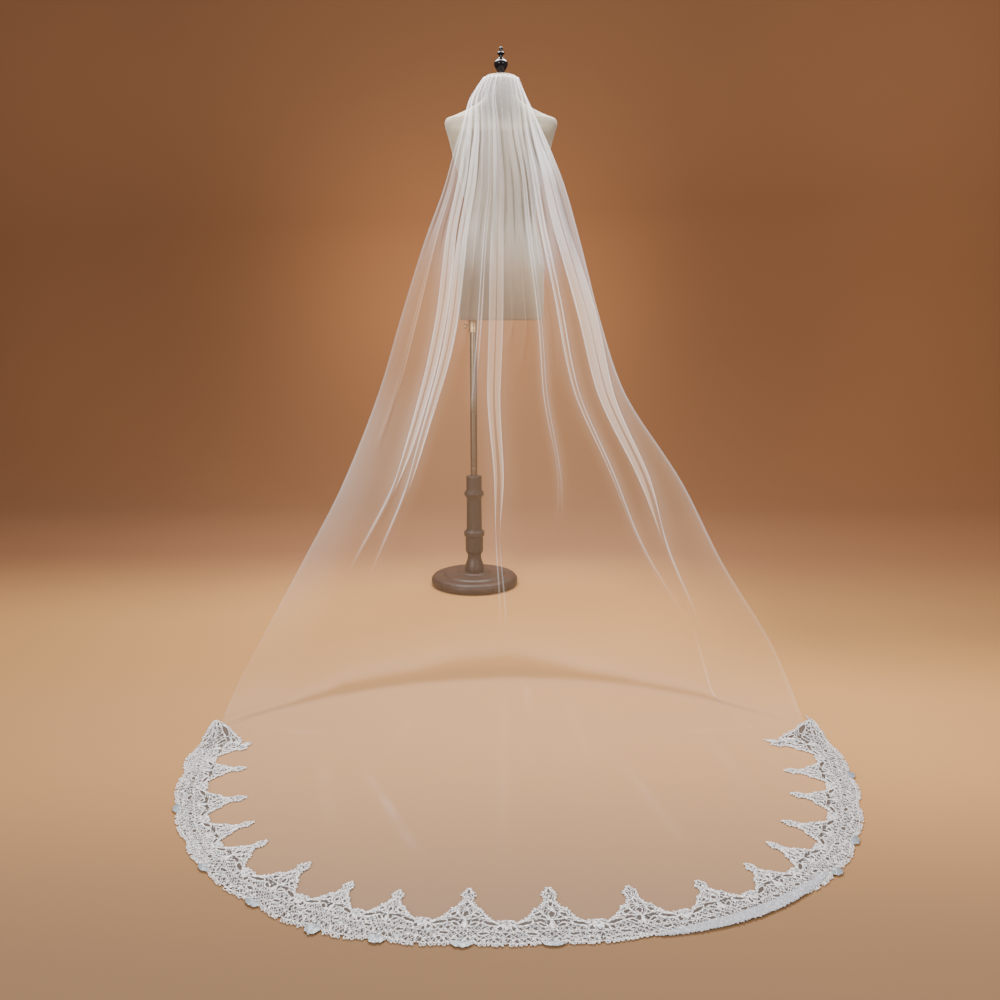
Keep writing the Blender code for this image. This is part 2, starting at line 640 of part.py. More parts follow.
def crown_scaled(inward, crown):
    """An inward distance stretched above the band's edge to a repeat's own crown."""
    if inward <= CROWN_FOOT:
        return inward
    return CROWN_FOOT + (inward - CROWN_FOOT) * (crown - CROWN_FOOT) / (CROWN_REACH - CROWN_FOOT)


def lace_outline(first, count):
    """The outline of a stretch of whole repeats, its crowns first and its scallops back."""
    inner, outer = [], []
    for index in range(first, first + count):
        repeat = REPEATS[index]
        inner += [(along_repeat(index, across), crown_scaled(inward, repeat.crown))
                  for across, inward in both_sides(CROWN_EDGE)]
        outer += [(along_repeat(index, across), -share * repeat.outer)
                  for across, share in both_sides(SCALLOP_EDGE)]
    begin, finish = repeat_span(first)[0], repeat_span(first + count - 1)[1]
    inner.append((finish, CROWN_FOOT))
    outer.append((finish, -SCALLOP_EDGE[0][1] * REPEATS[first + count - 1].outer))
    trim = TOUCH_GAP / 2
    return [border_at(min(max(distance, begin + trim), finish - trim), inward)
            for distance, inward in inner + outer[::-1]]


def lace_gap(gap, index, side):
    """One cut gap of a repeat, a pointed or round eye."""
    middle = along_repeat(index, side * gap.across)
    tilt = math.radians(gap.tilt) * side
    points = []
    for corner in range(gap.sides):
        angle = 2 * math.pi * corner / gap.sides
        along = math.cos(angle) * gap.half_length
        over = math.sin(angle) * gap.half_width
        inward = gap.inward + along * math.sin(tilt) + over * math.cos(tilt)
        points.append(border_at(middle + along * math.cos(tilt) - over * math.sin(tilt),
                                crown_scaled(inward, REPEATS[index].crown)))
    return points


# place runs from the roll's outer side to its inner side, lift from its underside to its top.
ROLL_SECTION = ((-1.0, 0.15), (-0.55, 0.0), (1.0, 0.0), (0.85, 0.45), (0.0, 1.0), (-0.8, 0.75))
ROLL_END = 0.06               # how far from a point each end of the roll is cut off


def build_turned_edge(material, collection, parent):
    """The stretch of outer edge that is turned back over the band, as one soft roll."""
    bottom = LACE_LIFT + LACE_WALL + TOUCH_GAP
    middle = (TURNED_OUT + TURNED_IN) / 2
    reach = (TURNED_IN - TURNED_OUT) / 2
    points = []
    for station in range(TURNED_STATIONS + 1):
        share = station / TURNED_STATIONS
        distance = TURNED_START + (TURNED_END - TURNED_START) * share
        fullness = math.sqrt(math.sin(math.pi * (ROLL_END + (1 - 2 * ROLL_END) * share)))
        for place, lift in ROLL_SECTION:
            x, y = border_at(distance, middle + place * reach * fullness)
            points.append((x, y, bottom + lift * TURNED_RISE * fullness))
    count = len(ROLL_SECTION)
    faces = [(station * count + side, station * count + (side + 1) % count,
              (station + 1) * count + (side + 1) % count, (station + 1) * count + side)
             for station in range(TURNED_STATIONS) for side in range(count)]
    last = TURNED_STATIONS * count
    faces.append(tuple(reversed(range(count))))
    faces.append(tuple(range(last, last + count)))
    mesh = mesh_of("lace_turned_edge", points, faces)
    return add_object("lace_turned_edge", mesh, material, collection, parent)


def build_lace(stretch, material, collection, parent):
    """One stretch of the border: a flat cut plate that lies on the tulle."""
    first = stretch * REPEATS_PER_STRETCH
    loops = [lace_outline(first, REPEATS_PER_STRETCH)]
    for repeat in range(first, first + REPEATS_PER_STRETCH):
        for gap in LACE_GAPS:
            for side in ((-1, 1) if gap.paired else (1,)):
                loops.append(lace_gap(gap, repeat, side))
    name = f"lace_edge_{stretch + 1}"
    curve = bpy.data.curves.new(name, "CURVE")
    curve.dimensions = "2D"
    curve.fill_mode = "BOTH"
    curve.extrude = LACE_WALL / 2
    for loop in loops:
        spline = curve.splines.new("POLY")
        spline.points.add(len(loop) - 1)
        for point, (x, y) in zip(spline.points, loop):
            point.co = (x, y, 0.0, 1.0)
        spline.use_cyclic_u = True
    item = bpy.data.objects.new(name + "_outline", curve)
    collection.objects.link(item)
    item.location = (0.0, 0.0, LACE_LIFT + LACE_WALL / 2)
    bpy.context.view_layer.update()
    return solid_from_curve(name, item, material, collection, parent)


def solid_from_curve(name, item, material, collection, parent):
    """A curve object made into a welded mesh object of its own."""
    graph = bpy.context.evaluated_depsgraph_get()
    mesh = bpy.data.meshes.new_from_object(item.evaluated_get(graph))
    mesh.name = name
    cage = bmesh.new()
    cage.from_mesh(mesh)
    bmesh.ops.remove_doubles(cage, verts=cage.verts, dist=MERGE_DISTANCE)
    bmesh.ops.recalc_face_normals(cage, faces=cage.faces)
    cage.to_mesh(mesh)
    cage.free()
    solid = add_object(name, mesh, material, collection, parent)
    solid.matrix_world = item.matrix_world.copy()
    bpy.data.objects.remove(item, do_unlink=True)
    return solid


# ---------------------------------------------------------------- the whole
def main():
    """Build the veil and the form that it hangs on."""
    clear_scene()
    pieces = make_collection("bridal_veil_on_dress_form")
    cutters = make_collection("cutters")
    root = bpy.data.objects.new("floor_centre", None)
    pieces.objects.link(root)

    wood = make_material("Turned dark wood", (0.16, 0.075, 0.047), 0.45)
    steel = make_material("Brushed steel", (0.45, 0.42, 0.40), 0.35, metallic=1.0)
    brass = make_material("Dull brass", (0.50, 0.34, 0.18), 0.45, metallic=1.0)
    cover = make_material("Form cover cloth", (0.66, 0.62, 0.54), 0.9)
    gloss = make_material("Black gloss", (0.012, 0.010, 0.012), 0.2)
    tulle = make_material("Ivory tulle", (0.85, 0.82, 0.81), 0.85, alpha=0.5)
    lace = make_material("Corded lace", (0.85, 0.84, 0.84), 0.8)

    turned("stand_base", BASE_PROFILE, TURNED_SIDES, wood, pieces, root)
    turned("stand_column", COLUMN_PROFILE, TURNED_SIDES, wood, pieces, root)
    build_pole(steel, pieces, root)
    build_clamp(brass, pieces, cutters, root)
    build_form(cover, pieces, root)
    turned("neck_finial", FINIAL_PROFILE, FINIAL_SIDES, gloss, pieces, root, FORM_AXIS_X)
    for stretch in FALL_STRETCHES:
        build_fall(stretch, tulle, pieces, root)
    build_train(tulle, pieces, root)
    for stretch in range(len(REPEATS) // REPEATS_PER_STRETCH):
        build_lace(stretch, lace, pieces, root)
    build_turned_edge(lace, pieces, root)
    bpy.context.view_layer.update()


main()
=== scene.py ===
"""Dresses the bridal veil and its dress form: tulle, corded lace, torso, stand, floor and light."""
import logging
import math
from dataclasses import dataclass, field
from enum import Enum
from typing import Iterable, Iterator, Sequence

import bpy
import numpy as np
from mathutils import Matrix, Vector
from mathutils.geometry import delaunay_2d_cdt


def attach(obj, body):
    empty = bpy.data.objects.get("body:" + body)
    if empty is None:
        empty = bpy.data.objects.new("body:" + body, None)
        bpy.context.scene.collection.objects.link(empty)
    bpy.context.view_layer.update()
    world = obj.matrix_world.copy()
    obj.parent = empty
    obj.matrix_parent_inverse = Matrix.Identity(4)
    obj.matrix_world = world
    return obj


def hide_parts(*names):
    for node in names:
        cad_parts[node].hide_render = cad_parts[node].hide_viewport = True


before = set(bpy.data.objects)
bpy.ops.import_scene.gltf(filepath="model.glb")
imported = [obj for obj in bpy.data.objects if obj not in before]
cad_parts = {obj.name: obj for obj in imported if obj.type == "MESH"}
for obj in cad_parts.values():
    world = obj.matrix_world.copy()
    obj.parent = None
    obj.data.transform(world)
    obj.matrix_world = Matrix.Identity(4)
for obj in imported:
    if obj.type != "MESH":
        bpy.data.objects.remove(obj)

LOG = logging.getLogger("veil")
Array = np.ndarray
Material, Piece, Socket = bpy.types.Material, bpy.types.Object, bpy.types.NodeSocket
Pair = tuple[float, float]
Colour = tuple[float, float, float]
Table = tuple[tuple[float, ...], ...]
# a cord of the trim: its points in millimetres, its radius, whether it is closed, its filling
Worked = tuple[Array, float, bool, float]


class Slot(Enum):
    """The record's material slots."""

    TULLE = "tulle"
    LACE = "lace"
    COVER = "form_cover"
    WOOD = "wood"
    STEEL = "steel"
    BRASS = "brass"
    GLOSS = "black_gloss"


# ------------------------------------------------------------------ meshes
@dataclass
class Shell:
    """Vertices and faces gathered before they become one mesh."""

    points: list[Array] = field(default_factory=list)
    faces: list[Array] = field(default_factory=list)
    tones: list[Array] = field(default_factory=list)
    count: int = 0
    tone: float = 1.0

    def add(self, points: Array, faces: Iterable[Array]) -> None:
        """Take in a part, in the tone that is set.

        Args:
            points: its vertices, one row each.
            faces: arrays of faces of one size each, counted from its own first vertex.
        """
        self.points.append(points)
        self.tones.append(np.full(len(points), self.tone))
        self.faces.extend(np.asarray(group, dtype=np.int64) + self.count for group in faces)
        self.count += len(points)

    def vertices(self) -> Array:
        """All vertices in one array."""
        return np.concatenate(self.points)


def make_mesh(name: str, points: Array, faces: Iterable[Array],
              smooth: bool = True) -> bpy.types.Mesh:
    """Make a mesh from arrays.

    Args:
        name: the mesh's name.
        points: vertices, one row each, in metres.
        faces: arrays of faces, each array of one size.
        smooth: whether its faces are shaded smooth.

    Returns:
        The mesh.
    """
    groups = [np.asarray(group, dtype=np.int32) for group in faces if len(group)]
    sizes = np.concatenate([np.full(len(group), group.shape[1], dtype=np.int32) for group in groups])
    corners = np.concatenate([group.ravel() for group in groups])
    starts = np.concatenate([[0], np.cumsum(sizes)[:-1]]).astype(np.int32)
    mesh = bpy.data.meshes.new(name)
    mesh.vertices.add(len(points))
    mesh.vertices.foreach_set("co", np.asarray(points, dtype=np.float32).ravel())
    mesh.loops.add(len(corners))
    mesh.loops.foreach_set("vertex_index", corners)
    mesh.polygons.add(len(sizes))
    mesh.polygons.foreach_set("loop_start", starts)
    mesh.update(calc_edges=True)
    mesh.validate()
    if smooth:
        mesh.shade_smooth()
    return mesh


def link(thing: Piece) -> Piece:
    """Put an object in the scene."""
    bpy.context.scene.collection.objects.link(thing)
    return thing


def paint(mesh: bpy.types.Mesh, name: str, values: Array) -> None:
    """Give each vertex of a mesh a number under a name, for its finish to read."""
    layer = mesh.attributes.new(name, "FLOAT", "POINT")
    layer.data.foreach_set("value", np.asarray(values, dtype=np.float32).ravel())


def make_piece(name: str, mesh: bpy.types.Mesh, material: Material,
               replaced: Sequence[str] = ()) -> Piece:
    """Place a mesh in the scene as a piece of the part.

    Args:
        name: the piece's name.
        mesh: its mesh, in the frame's metres.
        material: its finish.
        replaced: the CAD nodes that it stands for.

    Returns:
        The piece.
    """
    mesh.materials.append(material)
    piece = link(bpy.data.objects.new(name, mesh))
    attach(piece, "root")
    if replaced:
        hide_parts(*replaced)
    LOG.info("%s: %d faces", name, len(mesh.polygons))
    return piece


def grid_quads(rows: int, columns: int, closed: bool = False) -> Array:
    """Quads over a grid of vertices stored row by row.

    Args:
        rows: how many rows of vertices.
        columns: how many vertices in a row.
        closed: whether each row runs round to its own start.

    Returns:
        One quad a row.
    """
    row, column = np.meshgrid(np.arange(rows - 1), np.arange(columns if closed else columns - 1),
                              indexing="ij")
    after = (column + 1) % columns
    return np.stack([row * columns + column, row * columns + after,
                     (row + 1) * columns + after, (row + 1) * columns + column], -1).reshape(-1, 4)


def fan(centre: int, first: int, sides: int, turn: int = 1) -> Array:
    """Triangles from one vertex, the centre, out to a ring; a turn of -1 makes them look away."""
    around = first + np.arange(sides)
    return np.stack([np.full(sides, centre), around, np.roll(around, -1)], 1)[:, ::turn]


def turns(count: int) -> Array:
    """Angles evenly round a circle."""
    return 2 * math.pi * np.arange(count) / count


def circle(count: int) -> Array:
    """x and y of points evenly round a circle of radius 1."""
    return np.stack([np.cos(turns(count)), np.sin(turns(count))], 1)


def flat_ring(count: int) -> Array:
    """The same points, with 0 as their z."""
    return np.pad(circle(count), ((0, 0), (0, 1)))


def unit(way: Array) -> Array:
    """Vectors brought to length 1."""
    return way / np.linalg.norm(way, axis=-1, keepdims=True)


def left_of(way: Array) -> Array:
    """Flat vectors turned a quarter turn to their left."""
    return np.stack([-way[..., 1], way[..., 0]], -1)


def spun(points: Array, turn: float) -> Array:
    """Flat points turned about the origin by an angle."""
    return points * math.cos(turn) + left_of(points) * math.sin(turn)


def sides_of(twin: object) -> tuple[int, ...]:
    """1, and -1 too for what has a twin on the other side."""
    return (1, -1) if twin else (1,)


def squarer(wave: Array, power: float | Array) -> Array:
    """A circle's cosine or sine as a squarer oval has it: 2 is round, and more is squarer."""
    return np.copysign(np.abs(wave) ** (2 / power), wave)


def bell(away: Array, reach: float | Array = 1.0) -> Array:
    """A bell curve: 1 in its middle and 0.61 at its reach."""
    return np.exp(-0.5 * (away / reach) ** 2)


def ramp(value: Array, low: float, high: float) -> Array:
    """How far a value is on its way from low to high, kept within 0 and 1."""
    return np.clip((value - low) / (high - low), 0, 1)


def run_length(points: Array, axis: int = 0) -> Array:
    """How far each point lies along its line, from the line's first point; an axis gives its run."""
    step = np.linalg.norm(np.diff(points, axis=axis), axis=-1)
    start = np.zeros_like(np.take(step, [0], axis))
    return np.concatenate([start, np.cumsum(step, axis=axis)], axis)


def run_on(knots: Array, axis: int = 0) -> Array:
    """Knots with one more at each end, as far on as the step before it."""
    first, second, before, last = (np.take(knots, [i], axis) for i in (0, 1, -2, -1))
    return np.concatenate([2 * first - second, knots, 2 * last - before], axis)


def apart(points: Array, line: Array) -> Array:
    """How far the points of each row lie from that row's point of a line."""
    return np.linalg.norm(points - line[:, None], axis=2)


def hermite(t: Array, start: Array, end: Array, leave: Array,
            arrive: Array) -> Array:
    """A cubic over the shares t of the way from start to end, with its slopes at both ends."""
    return (start * (1 + 2 * t) * (1 - t) ** 2 + leave * t * (1 - t) ** 2
            + end * t * t * (3 - 2 * t) + arrive * t * t * (t - 1))


def pchip(xs: Sequence[float], ys: Sequence[float], at: Array) -> Array:
    """The shape-keeping cubic through rising xs and ys.

    Args:
        xs: rising places.
        ys: the values there.
        at: where it is read.

    Returns:
        The values at those places.
    """
    xs, ys = np.asarray(xs, float), np.asarray(ys, float)
    step, slope = np.diff(xs), np.diff(ys) / np.diff(xs)
    product, total = slope[:-1] * slope[1:], slope[:-1] + slope[1:]
    inner = np.where(product > 0, 2 * product / np.where(total == 0, 1, total), 0.0)
    tangent = np.concatenate([[slope[0]], inner, [slope[-1]]])
    at = np.clip(at, xs[0], xs[-1])
    index = np.clip(np.searchsorted(xs, at, side="right") - 1, 0, len(step) - 1)
    t, h = (at - xs[index]) / step[index], step[index]
    return hermite(t, ys[index], ys[index + 1], h * tangent[index], h * tangent[index + 1])


def curve(table: Table, at: Array) -> Array:
    """The smooth curve through a table's places and values, read at some places."""
    return pchip(*zip(*table), at)


def columns_at(table: Table, at: Array) -> list[Array]:
    """Smooth curves through the rows of a table, one for each column after the first."""
    places, *values = np.array(table).T
    return [pchip(places, column, at) for column in values]


def smooth_path(points: Sequence[Pair], step: float, closed: bool = False) -> Array:
    """A Catmull-Rom curve through points, resampled at even steps.

    Args:
        points: the points it passes through.
        step: the distance between the points it gives back.
        closed: whether it runs back to its start.

    Returns:
        The points along the curve, one row each.
    """
    knots = np.asarray(points, float)
    knots = np.concatenate([knots[-1:], knots, knots[:2]]) if closed else run_on(knots)
    fine = []
    for a, b, c, d in zip(knots, knots[1:], knots[2:], knots[3:]):
        t = np.linspace(0, 1, 12, endpoint=False)[:, None]
        fine.append(0.5 * (2 * b + (c - a) * t + (2 * a - 5 * b + 4 * c - d) * t ** 2
                           + (3 * b - a - 3 * c + d) * t ** 3))
    fine.append(knots[-2:-1])
    line = np.concatenate(fine)
    length = run_length(line)
    count = max(int(round(length[-1] / step)), 3)
    at = np.linspace(0, length[-1], count + 1)[: count if closed else count + 1]
    return np.stack([np.interp(at, length, line[:, i]) for i in (0, 1)], 1)


def waves(at: Array, seed: int, low: float, high: float, terms: int = 7) -> Array:
    """A smooth uneven wave of mixed lengths, about -1 to 1.

    Args:
        at: where it is read.
        seed: picks its phases.
        low: the fewest turns in a unit length.
        high: the most.
        terms: how many sines it has.

    Returns:
        Its values.
    """
    draw = np.random.default_rng(seed)
    total = np.zeros_like(at, dtype=float)
    for _ in range(terms):
        total = total + np.sin(2 * math.pi * (draw.uniform(low, high) * at + draw.uniform()))
    return total / math.sqrt(terms)


# ------------------------------------------------------------------ finishes
class Graph:
    """A material's nodes, joined as they are added."""

    def __init__(self, name: str) -> None:
        """Start a material with its Principled shader."""
        self.material = bpy.data.materials.new(name)
        self.material.use_nodes = True
        self.tree = self.material.node_tree
        self.shader = self.tree.nodes["Principled BSDF"]

    def node(self, kind: str, sockets: dict | None = None, **settings: object) -> bpy.types.Node:
        """Add a node.

        Args:
            kind: its type without the ShaderNode prefix.
            sockets: what goes into its inputs, by name or number: a value or another node's output.
            settings: its own settings.

        Returns:
            The node.
        """
        node = self.tree.nodes.new("ShaderNode" + kind)
        for name, value in settings.items():
            setattr(node, name, value)
        for key, value in (sockets or {}).items():
            self.into(node.inputs[key], value)
        return node

    def into(self, socket: Socket, value: object) -> None:
        """Fill a socket.

        Args:
            socket: the socket.
            value: another node's output to link into it, or its value; a colour is made opaque.
        """
        if isinstance(value, Socket):
            self.tree.links.new(value, socket)
        else:
            socket.default_value = (*value, 1) if socket.type == "RGBA" else value

    def scaled(self, colour: object, by: object) -> Socket:
        """A colour made brighter or darker by a factor."""
        return self.node("VectorMath", {0: colour, 3: by}, operation="SCALE").outputs[0]

    def math(self, operation: str, *values: object, clamp: bool = False) -> Socket:
        """A Math node's result."""
        node = self.node("Math", dict(enumerate(values)), operation=operation, use_clamp=clamp)
        return node.outputs[0]

    def attribute(self, name: str) -> Socket:
        """The number painted on the mesh under a name."""
        return self.node("Attribute", attribute_name=name).outputs["Fac"]

    def noise(self, vector: object, scale: float, detail: float = 2.0) -> Socket:
        """A noise texture's value."""
        return self.node("TexNoise", {"Vector": vector, "Scale": scale, "Detail": detail}).outputs[0]

    def place(self, scale: tuple[float, float, float] = (1.0, 1.0, 1.0)) -> Socket:
        """The object's own coordinates, scaled along each axis."""
        place = self.node("TexCoord").outputs["Object"]
        return self.node("Mapping", {"Vector": place, "Scale": scale}).outputs[0]

    def axes(self) -> bpy.types.bpy_prop_collection:
        """The object's own coordinates apart: across, deep and up."""
        return self.node("SeparateXYZ", {0: self.node("TexCoord").outputs["Object"]}).outputs

    def between(self, share: object, low: object, high: object) -> Socket:
        """A colour mixed from two by a share."""
        return self.node("Mix", {0: share, 6: low, 7: high}, data_type="RGBA").outputs[2]

    def ranged(self, value: object, low: float, high: float, to_low: float = 0.0,
               to_high: float = 1.0) -> Socket:
        """A value carried from one range to another, smoothly and clamped."""
        return self.node("MapRange", {0: value, 1: low, 2: high, 3: to_low, 4: to_high},
                         interpolation_type="SMOOTHSTEP").outputs[0]

    def bump(self, height: object, strength: float, distance: float) -> None:
        """Raise the surface by a height."""
        node = self.node("Bump", {"Height": height, "Strength": strength, "Distance": distance})
        self.into(self.shader.inputs["Normal"], node.outputs[0])

    def wear(self, **sockets: object) -> Material:
        """Fill the shader's sockets, with _ for a space in a name, and give the material."""
        for name, value in sockets.items():
            self.into(self.shader.inputs[name.replace("_", " ")], value)
        return self.material


@dataclass(frozen=True)
class TulleFinish:
    """Fine bridal net: each layer lets most of the light through, and gathers make it dense."""

    layer: float = 0.046
    mesh_pitch: float = 0.0022
    ivory: Colour = (0.95, 0.64, 0.39)
    white: Colour = (0.92, 0.88, 0.86)
    lilac: Colour = (0.88, 0.85, 0.9)
    # painted shade colours: brown for the contact shadow where the net meets the floor, grey for the
    # hollows higher up
    shaded: Colour = (0.085, 0.058, 0.038)
    hollow: Colour = (0.13, 0.118, 0.105)
    net_range: Pair = (1.06, 0.9)
    crease_cover: float = 0.5
    shade_cover: float = 0.5
    shade_depth: float = 4.0

    def net(self, graph: Graph) -> Socket:
        """The hexagonal net, thick on its threads and thin in its holes.

        Args:
            graph: the material's nodes.

        Returns:
            Its cover as a share about 1.
        """
        place = graph.node("UVMap", uv_map="cloth").outputs[0]
        turn = 2 * math.pi / self.mesh_pitch
        total: object = 0.0
        for angle in map(math.radians, (0, 60, 120)):
            along = (turn * math.cos(angle), turn * math.sin(angle), 0.0)
            dot = graph.node("VectorMath", {0: place, 1: along}, operation="DOT_PRODUCT").outputs[1]
            total = graph.math("ADD", total, graph.math("COSINE", dot))
        return graph.ranged(total, -1.5, 2.0, *self.net_range)

    def build(self) -> Material:
        """Make the material.

        Returns:
            A net that hides more where it lies in layers and where it doubles up, darkened by painted
            shade in its hollows and at its turn onto the floor.
        """
        graph = Graph("Ivory tulle")
        crease, shade, height = graph.attribute("crease"), graph.attribute("shade"), graph.axes()[2]
        through = graph.math("POWER", 1 - self.layer, graph.attribute("layers"))
        solid = graph.math("SUBTRACT", 1.0, through)
        cover = graph.math("MULTIPLY", solid, self.net(graph))
        cover = graph.math("MULTIPLY_ADD", crease, self.crease_cover, cover)
        cover = graph.math("MULTIPLY_ADD", shade, self.shade_cover, cover, clamp=True)
        full = graph.ranged(graph.math("ADD", solid, crease), 0.06, 0.3)
        for low, high, at_low, at_high in ((0.0, 0.16, 0.85, 0.0), (1.0, 1.4, 0.0, 0.8)):
            full = graph.math("ADD", full, graph.ranged(height, low, high, at_low, at_high),
                              clamp=True)
        tint = graph.ranged(graph.noise(graph.place((9.0, 9.0, 2.0)), 1.0), 0.35, 0.65)
        tone = graph.between(full, self.ivory, graph.between(tint, self.white, self.lilac))
        # painted shade: the shade number darkens the net towards these colours and thickens it
        shaded = graph.between(graph.ranged(height, 0.4, 1.0), self.shaded, self.hollow)
        dark = graph.math("MULTIPLY", shade, self.shade_depth, clamp=True)
        return graph.wear(Base_Color=graph.between(dark, tone, shaded), Alpha=cover, Roughness=0.8,
                          Sheen_Weight=0.35)


@dataclass(frozen=True)
class ThreadFinish:
    """White rayon cord, twisted, with grey patches, and greyed by painted shade where the mesh's tone
    is low.
    """

    name: str
    bright: Colour
    grey: Colour
    rough: float = 0.32
    patches: float = 330.0
    patch_range: Pair = (0.4, 0.57)
    twist: float = 1400.0

    def build(self) -> Material:
        """Make the material.

        Returns:
            A shiny cord with grey patches, and greyer still where the mesh's tone is low.
        """
        graph = Graph(self.name)
        place = graph.place()
        patch = graph.ranged(graph.noise(place, self.patches, 3.0), *self.patch_range)
        # painted shade on the trim's thinner cords, which stand lower and whose tone is set low; on the
        # wrong side the tone varies unevenly along the roll
        hollow = graph.math("SUBTRACT", 1.0, graph.attribute("tone"))
        patch = graph.math("ADD", patch, hollow, clamp=True)
        graph.bump(graph.noise(place, self.twist, 1.0), 0.5, 0.0005)
        return graph.wear(Base_Color=graph.between(patch, self.bright, self.grey),
                          Roughness=self.rough, Specular_IOR_Level=0.7)


@dataclass(frozen=True)
class ShadedGroundFinish:
    """The lace's stitched net ground, closely filled but still open between its threads, coloured near
    black as painted shade between the cords.
    """

    # painted shade: dark brown-grey, where the real net ground is white
    bright: Colour = (0.09, 0.07, 0.06)
    grey: Colour = (0.028, 0.021, 0.018)
    stitches: float = 420.0

    def build(self) -> Material:
        """Make the material.

        Returns:
            Fine dark stitches with small holes between them: painted shade between the cords.
        """
        graph = Graph("Stitched net ground")
        place = graph.place()
        cells = graph.node("TexVoronoi", {"Vector": place, "Scale": self.stitches},
                           feature="DISTANCE_TO_EDGE").outputs["Distance"]
        graph.bump(cells, 0.4, 0.0006)
        return graph.wear(Base_Color=graph.between(graph.noise(place, 150.0), self.bright, self.grey),
                          Alpha=graph.ranged(cells, 0.03, 0.16, 0.92, 0.55), Roughness=0.7)


@dataclass(frozen=True)
class SequinFinish:
    """Clear-coated pearl, for sequins and beads."""

    name: str
    colour: Colour
    rough: float

    def build(self) -> Material:
        """Make the material.

        Returns:
            Pearl with faint cooler patches.
        """
        graph = Graph(self.name)
        patch = graph.noise(graph.place(), 90.0)
        cooler = tuple(part * share for part, share in zip(self.colour, (0.9, 0.95, 1.0)))
        return graph.wear(Base_Color=graph.between(patch, self.colour, cooler),
                          Roughness=self.rough, Metallic=0.15, Coat_Weight=0.25,
                          Coat_Roughness=0.12)


@dataclass(frozen=True)
class CoverFinish:
    """The form's matt jersey: a fine knit with faint blotches."""

    light: Colour = (0.395, 0.336, 0.246)
    dark: Colour = (0.31, 0.254, 0.18)
    # painted shade colours, for the lower torso and for the shoulders
    hem_shade: Colour = (0.085, 0.056, 0.034)
    shoulder_shade: Colour = (0.225, 0.186, 0.132)
    knit: float = 260.0
    # how far up the painted shade on the lower torso reaches, at its darkest and at its end, and how it
    # climbs across
    hem_shade_reach: Pair = (0.94, 1.28)
    hem_shade_climb: Pair = (1.25, -0.14)
    shoulder_shade_reach: Pair = (1.53, 1.6)

    def build(self) -> Material:
        """Make the material.

        Returns:
            A fine knit, blotched a little, darkened by painted shade on the lower torso and on the
            shoulders.
        """
        graph = Graph("Form jersey")
        place, (across, _, height) = graph.place(), graph.axes()
        knit: object = 1.0
        for bands in "ZX":
            ribs = graph.node("TexWave", {"Vector": place, "Scale": self.knit, "Distortion": 1.5},
                              bands_direction=bands)
            knit = graph.math("MULTIPLY", knit, ribs.outputs["Fac"])
        graph.bump(knit, 0.35, 0.0006)
        blotch = graph.ranged(graph.noise(place, 14.0, 4.0), 0.3, 0.75, 0.0, 0.6)
        share = graph.math("MULTIPLY_ADD", knit, 0.25, blotch, clamp=True)
        # painted shade over the lower torso: it reaches higher on the left, and its edge wanders with
        # the blotches
        shade_level = graph.math("MULTIPLY_ADD", blotch, 0.08, height)
        shade_level = graph.math("ADD", shade_level, graph.math("MULTIPLY_ADD", across, *self.hem_shade_climb))
        tone = graph.between(graph.ranged(shade_level, *self.hem_shade_reach, 0.85, 0.0),
                             graph.between(share, self.light, self.dark), self.hem_shade)
        # painted shade that darkens the top-lit shoulders
        tone = graph.between(graph.ranged(height, *self.shoulder_shade_reach), tone, self.shoulder_shade)
        return graph.wear(Base_Color=tone, Roughness=0.9, Sheen_Weight=0.15)


@dataclass(frozen=True)
class WoodFinish:
    """Dark stained beech: long grain, pores and a worn semi-gloss varnish."""

    name: str
    grain: tuple[float, float, float]
    light: Colour = (0.034, 0.0095, 0.006)
    dark: Colour = (0.012, 0.004, 0.0027)

    def build(self) -> Material:
        """Make the material.

        Returns:
            Long grain with pores, under a varnish that is worn unevenly.
        """
        graph = Graph(self.name)
        place = graph.place(self.grain)
        bent = graph.node("VectorMath", {0: place, 1: graph.noise(place, 0.6)}, operation="ADD")
        pores = graph.ranged(graph.noise(place, 26.0), 0.52, 0.72)
        share = graph.ranged(graph.noise(bent.outputs[0], 5.0, 6.0), 0.34, 0.68)
        share = graph.math("MULTIPLY_ADD", pores, 0.5, share, clamp=True)
        graph.bump(pores, 0.12, 0.0006)
        gloss = graph.ranged(graph.noise(place, 1.6, 3.0), 0.3, 0.7, 0.46, 0.62)
        return graph.wear(Base_Color=graph.between(share, self.light, self.dark), Roughness=gloss,
                          Specular_IOR_Level=0.35, Coat_Weight=0.06, Coat_Roughness=0.3)


@dataclass(frozen=True)
class MetalFinish:
    """Turned metal with fine marks round it."""

    name: str
    light: Colour
    dark: Colour
    rough: Pair
    marks: tuple[float, float, float] = (30.0, 30.0, 900.0)

    def build(self) -> Material:
        """Make the material.

        Returns:
            Bare metal, its colour and roughness uneven along the marks.
        """
        graph = Graph(self.name)
        marks = graph.noise(graph.place(self.marks), 1.0, 3.0)
        graph.bump(marks, 0.08, 0.0003)
        return graph.wear(Base_Color=graph.between(marks, self.light, self.dark), Metallic=1.0,
                          Roughness=graph.ranged(marks, 0.3, 0.7, *self.rough))


@dataclass(frozen=True)
class GlossFinish:
    """Black lacquer with a faint orange-peel and a little dust."""

    lacquer: Colour = (0.006, 0.005, 0.007)
    dust: Colour = (0.03, 0.03, 0.035)

    def build(self) -> Material:
        """Make the material.

        Returns:
            The lacquer.
        """
        graph = Graph("Black lacquer")
        place = graph.place()
        graph.bump(graph.noise(place, 420.0), 0.05, 0.0004)
        share = graph.ranged(graph.noise(place, 60.0, 3.0), 0.5, 0.8, 0.0, 0.5)
        return graph.wear(Base_Color=graph.between(share, self.lacquer, self.dust), Roughness=0.1,
                          Specular_IOR_Level=0.16, Coat_Weight=0.04, Coat_Roughness=0.05)


